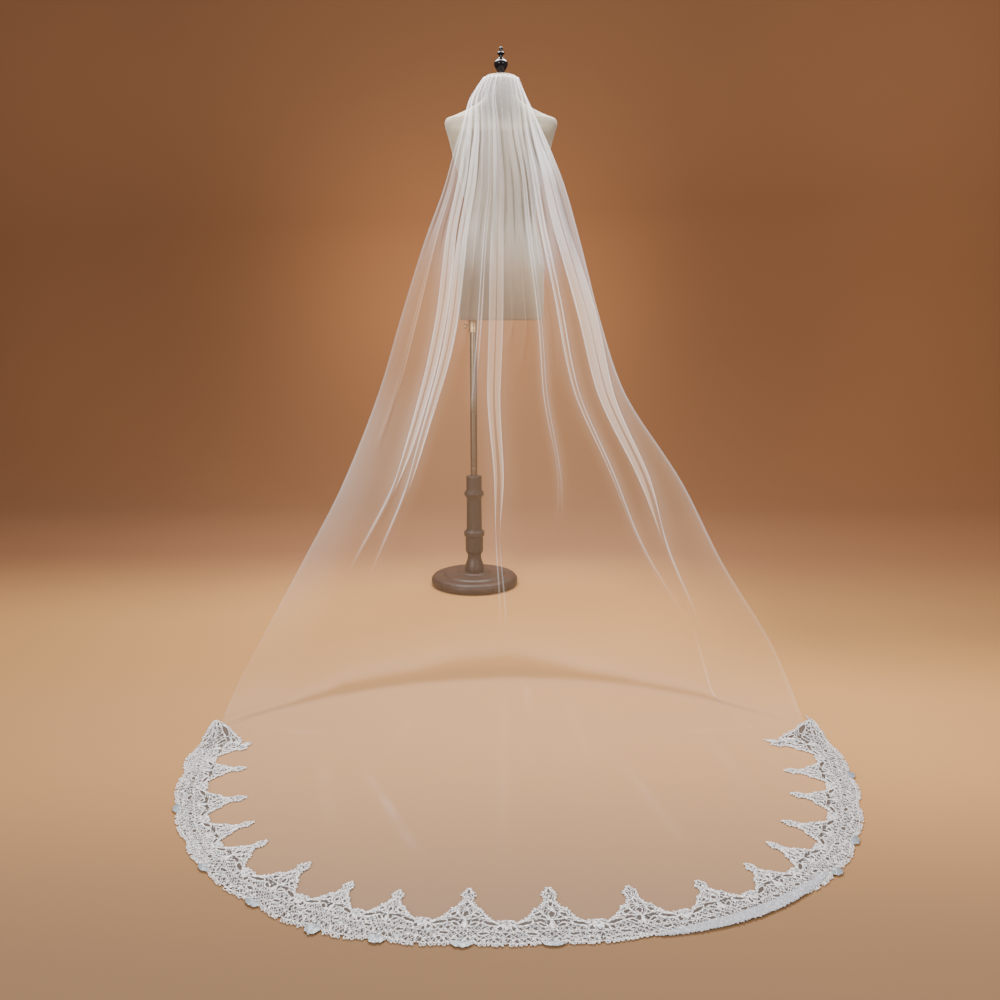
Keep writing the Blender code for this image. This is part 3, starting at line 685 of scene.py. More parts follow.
# ------------------------------------------------------------------ the veil
class Bend(Enum):
    """A fold's section from root to root: the shares of its root, spread and rise at each point."""

    FLAT = ((-1.0, 0.0, 0.0), (-0.85, 0.0, 0.22), (-0.6, -1.0, 0.55), (-0.25, -0.75, 1.0),
            (0.25, 0.75, 1.0), (0.6, 1.0, 0.55), (0.85, 0.0, 0.22), (1.0, 0.0, 0.0))
    ROUND = ((-1.0, 0.0, 0.0), (-0.5, -1.0, 0.7), (0.0, 0.0, 1.0), (0.5, 1.0, 0.7), (1.0, 0.0, 0.0))


@dataclass(frozen=True)
class Fold:
    """One fold of the fall.

    neck, chest, hip, knee and end are its places across the veil, -1 at the left edge and 1 at the
    right one. spread is how far its flaps reach sideways at the hip and narrow the share of that
    left halfway down; rise is how far it stands out and ends the height where it has died away.
    dense is how many more layers of pleated net lie about it, and skirt how far they reach.
    """

    name: str
    neck: float
    chest: float
    hip: float
    knee: float
    end: float
    spread: float
    narrow: float
    rise: float
    ends: float
    bend: Bend
    dense: float
    skirt: float

    @property
    def edges(self) -> Pair:
        """Which of its section's points are the edges where the net doubles up."""
        return (2, 5) if self.bend is Bend.FLAT else (1, 3)

    @property
    def crispness(self) -> float:
        """How strongly those edges show: a flat fold is pressed, and a small round one is soft."""
        if self.bend is Bend.FLAT:
            return 1.0
        return next(crisp for spread, crisp in CRISPNESS if self.spread < spread)


# a round fold's spread up to which its edges show so strongly
CRISPNESS = ((0.0042, 0.35), (0.006, 0.5), (math.inf, 0.75))
FOLDS = (
    Fold("left_edge_gather", -0.88, -0.9, -0.86, -0.88, -0.88, 0.004, 0.5, 0.011, 0.56, Bend.ROUND,
         0.5, 0.03),
    Fold("left_outer_fold", -0.72, -0.73, -0.61, -0.69, -0.765, 0.015, 0.65, 0.018, 0.25, Bend.FLAT,
         2.6, 0.024),
    Fold("left_inner_fold", -0.56, -0.56, -0.49, -0.615, -0.66, 0.0145, 0.45, 0.015, 0.22, Bend.FLAT,
         2.4, 0.021),
    Fold("left_soft_gather", -0.41, -0.39, -0.34, -0.34, -0.34, 0.0015, 0.4, 0.011, 0.84, Bend.ROUND,
         0.6, 0.02),
    Fold("left_thin_fold", -0.26, -0.25, -0.212, -0.24, -0.24, 0.0045, 0.6, 0.013, 0.66, Bend.ROUND,
         1.6, 0.016),
    Fold("centre_band", -0.11, -0.09, -0.043, -0.085, -0.037, 0.02, 0.55, 0.018, 0.04, Bend.FLAT,
         1.8, 0.03),
    Fold("centre_soft_gather", 0.04, 0.07, 0.13, 0.08, 0.08, 0.0015, 0.4, 0.011, 0.86, Bend.ROUND,
         0.5, 0.02),
    Fold("right_soft_gather", 0.19, 0.21, 0.27, 0.17, 0.17, 0.0015, 0.4, 0.011, 0.78, Bend.ROUND,
         0.5, 0.02),
    Fold("right_thin_fold", 0.34, 0.34, 0.41, 0.31, 0.26, 0.0045, 0.7, 0.013, 0.35, Bend.ROUND,
         2.6, 0.012),
    Fold("right_inner_gather", 0.49, 0.43, 0.51, 0.45, 0.45, 0.0015, 0.4, 0.011, 0.74, Bend.ROUND,
         0.8, 0.022),
    Fold("right_long_fold", 0.64, 0.53, 0.633, 0.625, 0.72, 0.0085, 0.35, 0.014, 0.11, Bend.ROUND,
         2.4, 0.017),
    Fold("right_outer_band", 0.82, 0.78, 0.9, 0.815, 0.75, 0.027, 0.6, 0.02, 0.1, Bend.FLAT,
         3.0, 0.027),
)


@dataclass(frozen=True)
class Border:
    """The middle line of the lace band on the floor, from the left corner round to the right one."""

    centre_x: float = 0.128
    half_width: float = 0.679
    side_y: float = -1.211
    depth: float = 0.693
    power: float = 2.48
    left_corner: Pair = (-0.548, -1.147)
    right_corner: Pair = (0.8, -1.147)
    run_on: float = 0.15
    step: float = 0.02

    def line(self) -> tuple[Array, Array]:
        """The line itself, run on past both corners.

        Returns:
            Its points, and the distance along it of each, from 0 at the left corner.
        """
        angle = math.pi * (1 - np.arange(1601) / 1600)
        x = squarer(np.cos(angle), self.power) * self.half_width
        y = np.abs(np.sin(angle)) ** (2 / self.power) * self.depth
        points = np.stack([self.centre_x + x, self.side_y - y], 1)
        points[0], points[-1] = ((self.centre_x - self.half_width, self.side_y),
                                 (self.centre_x + self.half_width, self.side_y))
        points = np.concatenate([[self.left_corner], points, [self.right_corner]])
        ends = [here + unit(here - inner) * self.run_on
                for here, inner in ((points[0], points[1]), (points[-1], points[-2]))]
        points = np.concatenate([ends[:1], points, ends[1:]])
        return points, run_length(points) - self.run_on

    def at(self, distance: Array, inward: Array) -> Array:
        """Points at distances along the border and inward from its middle line.

        Args:
            distance: how far along the border.
            inward: how far towards the train's middle.

        Returns:
            x and y of each point.
        """
        points, along = self.line()

        def place(where: Array) -> Array:
            """The middle line's point at a distance."""
            return np.stack([np.interp(where, along, points[:, i]) for i in (0, 1)], -1)

        way = unit(place(distance + self.step) - place(distance - self.step))
        return place(distance) + left_of(way) * np.asarray(inward)[..., None]

    @property
    def length(self) -> float:
        """The middle line's length between its corners."""
        return float(self.line()[1][-1]) - self.run_on


@dataclass
class TulleVeil:
    """The tulle panel: gathered at the neck, falling in folds, then lying on the floor as a train."""

    border: Border
    finish: TulleFinish
    flat_width: float = 1.5
    top: float = 1.722
    chest: float = 1.36
    hip: float = 0.95
    knee: float = 0.55
    arc_height: float = 1.5
    section_power: float = 2.1
    neck_root: float = 0.0022
    hip_root: float = 0.003
    open_root: float = 0.016
    neck_rise: float = 0.006
    dip_share: float = 0.3
    dip_depth: float = 0.3
    chest_share: float = 0.75
    opening_share: float = 0.25
    fall_rows: int = 160
    train_rows: int = 80
    bend_columns: int = 4
    dip_columns: int = 6
    floor_lift: float = 0.0008
    past_band: float = 0.015
    first_share: float = 0.03
    # height, left edge's x, right edge's x, the edges' y, the middle's y
    sections: Table = (
        (0.0, -0.574, 0.821, -1.147, -0.83), (0.03, -0.568, 0.817, -1.102, -0.79),
        (0.121, -0.526, 0.788, -1.02, -0.729), (0.315, -0.431, 0.682, -0.85, -0.619),
        (0.49, -0.348, 0.606, -0.7, -0.524), (0.75, -0.26, 0.454, -0.495, -0.394),
        (0.945, -0.209, 0.396, -0.392, -0.318), (1.19, -0.139, 0.34, -0.273, -0.23),
        (1.36, -0.083, 0.298, -0.18, -0.17), (1.5, -0.048, 0.247, -0.112, -0.135),
        (1.59, -0.022, 0.208, -0.072, -0.106), (1.64, -0.008, 0.185, -0.038, -0.088),
        (1.68, 0.014, 0.167, -0.015, -0.072), (1.722, 0.0427, 0.1493, -0.001, -0.0533),
    )
    # height, how strong the fine gathers are there
    gathering: Table = ((0.3, 0.0), (0.62, 0.1), (0.9, 0.3), (1.2, 0.7), (1.45, 1.0),
                        (1.64, 1.0), (1.722, 0.75))
    gather_height: float = 0.0034
    gather_slope: float = 2.1
    # rows about the turn onto the floor that are rounded, and how widely each is blended
    turn_rows: int = 12
    blend_rows: int = 10
    blend_reach: float = 2.6
    ridge_height: float = 0.0022
    # the doubled edges: how wide they are, how strong along the cloth's left and right sides, and how
    # strong the painted highlight on the gathers' crests is
    crease_width: float = 0.0019
    side_width: float = 0.004
    side_lines: Pair = (0.1, 0.26)
    crest_highlight_share: float = 0.36
    quiet_fold: str = "centre_band"
    crease_fade: Table = ((1.05, 1.0), (1.32, 0.55), (1.6, 0.42))
    # the painted contact shadow at the turn onto the floor: its width, its way out from the touch line
    # and its strength
    touch_shade: float = 0.013
    touch_place: Pair = (0.014, 0.044)
    touch_strength: Pair = (0.19, 0.15)
    # painted shade in the hollows of the gathers and in the valleys before the folds
    hollow_shade: float = 1.1
    hollow_fade: Table = ((1.05, 0.0), (1.25, 1.0), (1.5, 0.8), (1.66, 0.15))
    valley_width: float = 0.0025
    valley_fade: Table = ((0.85, 0.0), (1.1, 0.1), (1.3, 0.4), (1.55, 0.32), (1.68, 0.0))
    wide_valley_before: str = "centre_soft_gather"
    wide_valley: float = 3.2
    streak_share: float = 26.0
    # the pleated net's layers: about the folds, along the edges, slack at the left, on the chest
    header_layers: float = 5.0
    fold_layers: Table = ((0.9, 1.0), (1.15, 1.0), (1.34, 0.42), (1.5, 0.5), (1.66, 0.85))
    edge_layers: float = 2.4
    edge_reach: float = 0.055
    slack_layers: float = 2.2
    slack_reach: float = 0.125
    slack_fade: Table = ((0.05, 0.2), (0.2, 0.7), (0.42, 1.0), (0.62, 0.6), (0.8, 0.0))
    # where across the chest more net lies, how far it reaches and how many layers it adds
    chest_layers: Table = ((0.222, 0.034, 3.6), (0.012, 0.026, 1.6), (0.138, 0.016, 1.4))
    chest_fade: Table = ((1.05, 0.0), (1.2, 1.0), (1.36, 1.0), (1.44, 2.4), (1.53, 2.4),
                         (1.575, 0.6), (1.62, 0.3))
    # where a crease of the train starts and ends, how high and how wide it is
    train_creases: Table = (
        (-0.2, -1.39, -0.045, -1.72, 0.005, 0.014), (0.105, -0.87, 0.098, -1.8, 0.002, 0.016),
        (0.355, -1.35, 0.435, -1.68, 0.0034, 0.013), (0.158, -0.87, 0.17, -1.13, 0.0036, 0.014),
        (-0.3, -1.33, -0.22, -1.64, 0.0022, 0.016), (0.56, -1.13, 0.61, -1.52, 0.0022, 0.014),
        (-0.5, -1.18, -0.2, -1.26, 0.002, 0.014), (0.76, -1.18, 0.42, -1.235, 0.002, 0.014),
        (0.25, -0.96, 0.3, -1.42, 0.0016, 0.016), (-0.11, -1.0, -0.15, -1.33, 0.0016, 0.016),
    )

    @property
    def heights(self) -> Array:
        """The height of each row of the fall, from the neck down."""
        return np.linspace(self.top, 0.0, self.fall_rows)

    def base(self, across: Array, height: Array) -> Array:
        """The unfolded sheet: an arc round the neck that opens as it comes down.

        Args:
            across: places across it, -1 at its left edge and 1 at its right one.
            height: the height of each.

        Returns:
            x and y of each point.
        """
        left, right, edge, middle = columns_at(self.sections, height)
        spread = ramp(self.top - height, 0.0, self.top - self.arc_height)
        spread = spread * spread * (3 - 2 * spread)
        angle = across * math.pi / 2
        place = (1 - spread) * np.sin(angle) + spread * across
        turn = (1 - spread) * (1 - np.cos(angle)) + spread * np.abs(across) ** self.section_power
        return np.stack([(left + right) / 2 + place * (right - left) / 2,
                         middle + (edge - middle) * turn], -1)

    def shifted(self, across: Array, height: Array, sideways: Array,
                outward: Array) -> Array:
        """Points of the unfolded sheet, moved.

        Args:
            across: places across it.
            height: the height of each.
            sideways: how far each moves along its section.
            outward: how far it moves out from it.

        Returns:
            x and y of each point.
        """
        step = 0.004
        way = unit(self.base(across + step, height) - self.base(across - step, height))
        return (self.base(across, height) + way * np.asarray(sideways)[..., None]
                - left_of(way) * np.asarray(outward)[..., None])

    def fold_shape(self, fold: Fold, height: Array) -> tuple[Array, ...]:
        """A fold's run and its section.

        Args:
            fold: the fold.
            height: the heights.

        Returns:
            Where across the veil it runs at each height, and its root, spread and rise there.
        """
        stops, places = [self.hip, self.chest, self.top], [fold.hip, fold.chest, fold.neck]
        if fold.ends < self.knee:
            stops, places = [self.knee] + stops, [fold.knee] + places
        place = pchip([fold.ends] + stops, [fold.end] + places, height)
        levels = [fold.ends, fold.ends + self.opening_share * (self.hip - fold.ends),
                  (self.hip + fold.ends) / 2, self.hip, self.chest, self.top]
        root = pchip(levels, [self.open_root, 3 * self.hip_root, 2 * self.hip_root, self.hip_root,
                              self.hip_root, self.neck_root], height)
        spread = pchip(levels, [0, 0, fold.narrow * fold.spread, fold.spread,
                                self.chest_share * fold.spread, 0], height)
        rise = pchip(levels, [0, 0.5 * fold.rise, 0.8 * fold.rise, fold.rise, 0.9 * fold.rise,
                              self.neck_rise], height)
        return place, root, spread, rise

    def guides(self) -> tuple[Array, list[int]]:
        """The points that each row's section passes through.

        Returns:
            The points, row by row, and how many columns lie before each next one.
        """
        height = self.heights
        table = np.array(self.sections)
        edge = pchip(table[:, 0], table[:, 2] - table[:, 1], height) / 2
        ones, none = np.ones_like(height), np.zeros_like(height)
        last, last_rise = -ones, none
        points, counts = [self.base(-ones, height)], []
        for fold in FOLDS:
            place, root, spread, rise = self.fold_shape(fold, height)
            sink = self.dip_share * (rise + last_rise) / 2 * np.minimum(
                (self.top - height) / self.dip_depth, 1)
            points.append(self.shifted((last + place - root / edge) / 2, height, none, -sink))
            points += [self.shifted(place, height, root * along + spread * out, rise * up)
                       for along, out, up in fold.bend.value]
            counts += [self.dip_columns] * 2 + [self.bend_columns] * (len(fold.bend.value) - 1)
            last, last_rise = place + root / edge, rise
        points += [self.shifted((last + ones) / 2, height, none, none), self.base(ones, height)]
        return np.stack(points, 1), counts + [self.dip_columns] * 2

    def placed_folds(self) -> Iterator[tuple[Fold, int]]:
        """Every fold, with the column of the sheet where its own section starts.

        Yields:
            The fold and the column.
        """
        column = 0
        for fold in FOLDS:
            column += 2 * self.dip_columns
            yield fold, column
            column += (len(fold.bend.value) - 1) * self.bend_columns

    def fall(self) -> Array:
        """The hanging part.

        Returns:
            Its points, row by row from the neck down.
        """
        knots, counts = self.guides()
        knots = run_on(knots, 1)
        columns = []
        for index, count in enumerate(counts):
            a, b, c, d = (knots[:, index + i, None] for i in range(4))
            before, here, after = (np.linalg.norm(v, axis=2, keepdims=True)
                                   for v in (b - a, c - b, d - c))
            t = (np.arange(count) / count)[None, :, None]
            columns.append(hermite(t, b, c, (c - a) * here / (before + here),
                                   (d - b) * here / (here + after)))
        columns.append(knots[:, -2:-1])
        flat = np.concatenate(columns, 1)
        flat = flat + self.gathers(flat)
        height = np.broadcast_to(self.heights[:, None, None], flat.shape[:2] + (1,))
        return np.concatenate([flat, height], 2)

    def gathers(self, flat: Array) -> Array:
        """The fine gathers between the folds.

        Args:
            flat: x and y of the fall's points, row by row.

        Returns:
            How far each point moves out from its section.
        """
        way = np.gradient(flat, axis=1)
        limit = np.minimum(self.gather_slope * np.linalg.norm(way, axis=2), self.gather_height)
        return -left_of(unit(way)) * (self.ripples(flat.shape[1]) * limit)[..., None]

    def ripples(self, columns: int) -> Array:
        """The fine gathers' wave over the fall.

        Args:
            columns: how many points lie across.

        Returns:
            1 on a crest, -1 in a hollow and 0 where there is none, row by row.
        """
        column = np.linspace(0, 1, columns)[None, :]
        drift = 0.006 * waves(self.heights, 21, 0.6, 1.9)[:, None]
        ripple = waves(column + drift, 4, 15.0, 42.0, 9)
        swell = 0.65 + 0.35 * waves(column + 2.5 * drift, 8, 5.0, 13.0)
        edge = np.clip(np.minimum(column, 1 - column) * 60, 0, 1)
        return ripple * swell * edge * curve(self.gathering, self.heights)[:, None]

    def points(self) -> Array:
        """The whole sheet.

        Returns:
            Its points, row by row from the neck to the train's trimmed edge.
        """
        fall = self.fall()
        touch = fall[-1, :, :2]
        length = run_length(touch)
        share = self.first_share + (1 - 2 * self.first_share) * length / length[-1]
        end = self.border.at(share * self.border.length, np.full(len(share), -self.past_band))
        t = (np.arange(1, self.train_rows + 1) / self.train_rows)[:, None, None]
        flat = touch + (end - touch) * t
        train = np.concatenate([flat, np.zeros(flat.shape[:2] + (1,))], 2)
        sheet = self.softened(np.concatenate([fall, train]))
        sheet[..., 2] = np.maximum(sheet[..., 2], 0) + self.floor_lift
        sheet[self.fall_rows:, :, 2] += self.creased(sheet[self.fall_rows:], t[..., 0], share)
        return sheet

    def softened(self, sheet: Array) -> Array:
        """Round the turn onto the floor, as soft net turns.

        Args:
            sheet: its points, row by row.

        Returns:
            The points, blended with their neighbours up and down about the turn.
        """
        reach, middle = self.blend_rows, self.fall_rows - 2
        weight = bell(np.arange(-reach, reach + 1), self.blend_reach)
        weight /= weight.sum()
        result = sheet.copy()
        for row in range(middle - self.turn_rows, middle + self.turn_rows):
            blend = 1 - ((row - middle) / self.turn_rows) ** 2
            mean = np.tensordot(weight, sheet[row - reach: row + reach + 1], 1)
            result[row] = sheet[row] * (1 - blend) + mean * blend
        return result

    def beside(self, train: Array, ends: Sequence[float]) -> tuple[Array, Array]:
        """Where the train's points lie by a straight crease.

        Args:
            train: its points, row by row.
            ends: x and y of the crease's start and of its end.

        Returns:
            How far along the crease each lies, as a share, and how far away from it.
        """
        start, way = np.array(ends[:2]), np.subtract(ends[2:], ends[:2])
        along = np.clip(((train[..., :2] - start) @ way) / (way @ way), 0, 1)
        return along, np.linalg.norm(train[..., :2] - start - along[..., None] * way, axis=-1)

    def creased(self, train: Array, share: Array, across: Array) -> Array:
        """The train's low ripples and creases.

        Args:
            train: its points, row by row.
            share: how far out each row lies, 0 at the touch line and 1 at the edge.
            across: how far across each column lies.

        Returns:
            How far each point is lifted off the floor.
        """
        open_part = ramp(share, 0.0, 0.06) * np.clip((0.9 - share) / 0.22, 0, 1)
        ridge = np.maximum(waves(across[None, :] + 0.02 * waves(share, 31, 0.5, 1.6), 12, 7.0, 15.0), 0)
        lift = (self.ridge_height * ridge ** 1.5
                * (0.6 + 0.4 * waves(share * 1.4 + across, 5, 0.6, 2.2)))
        for *ends, height, width in self.train_creases:
            along, away = self.beside(train, ends)
            taper = np.sqrt(np.clip(np.sin(math.pi * np.clip(along, 0.04, 0.96)), 0, 1))
            lift = lift + height * taper * bell(away, width)
        return np.maximum(lift, 0) * open_part

    def streaks(self, sheet: Array) -> Array:
        """How strongly the train's long creases show.

        Args:
            sheet: its points, row by row.

        Returns:
            A share at each point.
        """
        found = np.zeros(sheet.shape[:2])
        for index, (*ends, height, width) in enumerate(self.train_creases):
            along, away = self.beside(sheet[self.fall_rows:], ends)
            taper = np.sin(math.pi * along) * (0.7 + 0.3 * waves(along, index, 1.0, 3.0))
            found[self.fall_rows:] += self.streak_share * height * taper * bell(away, 0.55 * width)
        return found

    def density(self, sheet: Array) -> Array:
        """The pleats' net, about the folds, along both edges and on the chest.

        Args:
            sheet: its points, row by row.

        Returns:
            How many more layers of net lie at each point.
        """
        height, fall = self.heights, sheet[: self.fall_rows, :, :2]
        fade = ramp(height, 0.05, 0.5)
        more = np.zeros(sheet.shape[:2])
        hanging = more[: self.fall_rows]
        for fold in FOLDS:
            place, _, _, rise = self.fold_shape(fold, height)
            strength = (fold.dense * (rise / fold.rise).clip(0, 1) * fade
                        * curve(self.fold_layers, height))
            hanging += strength[:, None] * bell(apart(fall, self.base(place, height)), fold.skirt)
        reach = self.edge_reach * (0.5 + 0.5 * (self.top - height) / self.top)[:, None]
        left, right = apart(fall, fall[:, 0]), apart(fall, fall[:, -1])
        for away in (left, right):
            hanging += self.edge_layers * fade[:, None] * np.exp(-away / reach)
        slack = curve(self.slack_fade, height)[:, None]
        hanging += self.slack_layers * slack * np.exp(-0.5 * (left / self.slack_reach) ** 4)
        for place, reach, layers in self.chest_layers:
            across = bell(fall[..., 0] - place, reach)
            hanging += layers * curve(self.chest_fade, height)[:, None] * across
        return more

    def creases(self, sheet: Array) -> Array:
        """How strongly the net doubles up along the folds' and the cloth's edges, with a painted
        highlight on the gathers' crests.

        Args:
            sheet: its points, row by row.

        Returns:
            A share at each point.
        """
        height, reach = self.heights, run_length(sheet, 1)
        rows, columns = reach.shape
        fade = np.clip((self.top - height) / 0.35, 0.25, 1) * curve(self.crease_fade, height)
        found, strength = np.zeros((rows, columns)), np.zeros(rows)
        for fold, start in self.placed_folds():
            shown = (self.fold_shape(fold, height)[3] / fold.rise).clip(0, 1) ** 1.1 * fold.crispness
            if fold.name == self.quiet_fold:
                shown *= np.clip(1.6 - height, 0.35, 1)
            if fold.crispness < 0.5:
                shown *= np.clip((height - 1.18) / 0.25, 0.1, 1)
            strength[: self.fall_rows] = shown * fade
            for point in fold.edges:
                place = start + point * self.bend_columns
                uneven = 0.8 + 0.2 * waves(np.arange(rows) / self.fall_rows, place, 1.0, 6.0)
                found = np.maximum(found, (strength * uneven)[:, None]
                                   * bell(reach - reach[:, [place]], self.crease_width))
        strength[: self.fall_rows] = np.clip(0.4 + height / 1.2, 0, 1)
        for place, line in zip((0, columns - 1), self.side_lines):
            found = np.maximum(found, line * strength[:, None]
                               * bell(reach - reach[:, [place]], self.side_width))
        # a painted highlight on the crests of the fine gathers
        crest = np.clip(self.ripples(columns) - 0.35, 0, 1) ** 1.3 * self.crest_highlight_share
        found[: self.fall_rows] = np.maximum(found[: self.fall_rows], crest)
        found[-1] = np.maximum(found[-1], 0.4)
        found[0] = 1.0
        return np.clip(found, 0, 1)

    def shades(self, sheet: Array) -> Array:
        """How much painted shade darkens the net: a contact shadow at its soft turn onto the floor, and
        shade in its hollows.

        Args:
            sheet: its points, row by row.

        Returns:
            A share at each point.
        """
        down, across = run_length(sheet), np.linspace(-1, 1, sheet.shape[1])[None, :]
        start, further = self.touch_place
        away = (down - down[self.fall_rows - 1] - start - further * np.abs(across)
                + 0.004 * waves(across, 44, 0.4, 1.4))
        middle = bell(across + 0.05, 0.42)
        reach = self.touch_shade * np.where(away < 0, 1.0 + 3.0 * middle, 1.6 + 1.8 * middle)
        even, more = self.touch_strength
        line = (bell(away, reach) * (even + more * middle)
                * np.clip((1.04 - np.abs(across)) / 0.1, 0, 1))
        return np.maximum(line, self.valleys(sheet))

    def valleys(self, sheet: Array) -> Array:
        """How much painted shade darkens the net in the valleys before the folds and the hollows of the
        gathers.

        Args:
            sheet: its points, row by row.

        Returns:
            A share at each point.
        """
        height, fall = self.heights, sheet[: self.fall_rows, :, :2]
        found = np.zeros(sheet.shape[:2])
        hanging = found[: self.fall_rows]
        for index, (fold, start) in enumerate(self.placed_folds()):
            away = apart(fall, fall[:, start - self.dip_columns])
            uneven = np.clip(0.55 + 0.55 * waves(height, 60 + index, 0.8, 3.0), 0, 1)
            wide = self.wide_valley if fold.name == self.wide_valley_before else 1.0
            dark = curve(self.valley_fade, height) * uneven * min(wide, 1.3)
            hanging += dark[:, None] * bell(away, self.valley_width * wide)
        hollow = np.clip(-self.ripples(sheet.shape[1]) - 0.4, 0, 1) * self.hollow_shade
        hanging[:] = np.maximum(hanging, hollow * curve(self.hollow_fade, height)[:, None])
        return found

    def build(self) -> Piece:
        """Make the veil's one sheet.

        Returns:
            The piece, with its net's layers, its doubled edges, its painted highlight and its painted
            shade stored on it.
        """
        sheet = self.points()
        rows, columns = sheet.shape[:2]
        mesh = make_mesh("veil_tulle", sheet.reshape(-1, 3), [grid_quads(rows, columns)])
        width = run_length(sheet, 1)
        header = self.header_layers * np.exp(-np.arange(rows) / 1.5)[:, None]
        layers = np.maximum(self.flat_width / width[:, -1:], 1.0) + header + self.density(sheet)
        paint(mesh, "layers", layers)
        paint(mesh, "crease", np.maximum(self.creases(sheet), self.streaks(sheet)))
        paint(mesh, "shade", self.shades(sheet))
        down, cut = run_length(sheet[:, columns // 2]), width[rows // 3]
        place = np.stack(np.broadcast_arrays(cut[None, :] / cut[-1] * self.flat_width,
                                             down[:, None]), -1).reshape(-1, 2)
        corner = np.empty(len(mesh.loops), dtype=np.int32)
        mesh.loops.foreach_get("vertex_index", corner)
        cloth = mesh.uv_layers.new(name="cloth")
        cloth.uv.foreach_set("vector", place[corner].astype(np.float32).ravel())
        LOG.info("veil: %.2f m2 of tulle", sum(face.area for face in mesh.polygons))
        return make_piece("veil_tulle", mesh, self.finish.build(),
                          [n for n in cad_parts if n.startswith(("veil_fall", "veil_train"))])


# ------------------------------------------------------------------ the lace
def inside(points: Array, loops: Sequence[Array]) -> Array:
    """Whether each point lies within an odd number of closed loops.

    Args:
        points: x and y of each.
        loops: the loops' points.

    Returns:
        One truth value for each point.
    """
    odd = np.zeros(len(points), bool)
    for loop in loops:
        for (x0, y0), (x1, y1) in zip(loop, np.roll(loop, -1, 0)):
            if y0 == y1:
                continue
            crosses = (points[:, 1] > min(y0, y1)) & (points[:, 1] <= max(y0, y1))
            odd ^= crosses & (points[:, 0] < x0 + (points[:, 1] - y0) * (x1 - x0) / (y1 - y0))
    return odd


@dataclass(frozen=True)
class Repeat:
    """One repeat of the trim on the border: its ends, its reaches and how far its tip leans."""

    start: float
    end: float
    crown: float
    outer: float
    lean: float
    corner: int = 0
    outer_before: float = 0.043
    outer_after: float = 0.043


# the end of each repeat along the border, its crown's and scallop's reach, and its tip's lean
REPEAT_TABLE: Table = (
    (0.205, 0.076, 0.048, 0.47), (0.322, 0.091, 0.045, -0.2), (0.456, 0.096, 0.042, 0.1),
    (0.559, 0.093, 0.04, 0.15), (0.675, 0.088, 0.04, -0.2), (0.807, 0.097, 0.042, 0.1),
    (0.915, 0.083, 0.055, 0.1), (1.026, 0.083, 0.048, -0.1), (1.161, 0.101, 0.042, 0.0),
    (1.307, 0.105, 0.038, 0.0), (1.452, 0.098, 0.034, 0.05), (1.585, 0.081, 0.036, 0.05),
    (1.701, 0.079, 0.038, 0.1), (1.805, 0.092, 0.047, 0.0), (1.927, 0.095, 0.043, -0.1),
    (2.05, 0.092, 0.046, 0.1), (2.172, 0.098, 0.044, -0.1), (2.368, 0.1, 0.043, -0.31),
)
LACE_START = 0.006


def repeats() -> list[Repeat]:
    """Every repeat of the trim.

    Returns:
        The repeats, from the left corner round to the right one.
    """
    starts = [LACE_START] + [row[0] for row in REPEAT_TABLE[:-1]]
    corners = [-1] + [0] * (len(REPEAT_TABLE) - 2) + [1]
    reach = [REPEAT_TABLE[0][2]] + [row[2] for row in REPEAT_TABLE] + [REPEAT_TABLE[-1][2]]
    seam = [(here + after) / 2 for here, after in zip(reach, reach[1:])]
    return [Repeat(start, *row, corner, before, after) for start, row, corner, before, after
            in zip(starts, REPEAT_TABLE, corners, seam, seam[1:])]


@dataclass(frozen=True)
class Cord:
    """A cord of the motif, in millimetres: x from the repeat's middle and inward from the band's."""

    points: tuple[Pair, ...]
    radius: float = 0.8
    closed: bool = False
    twin: bool = True
    filled: float = 0.0


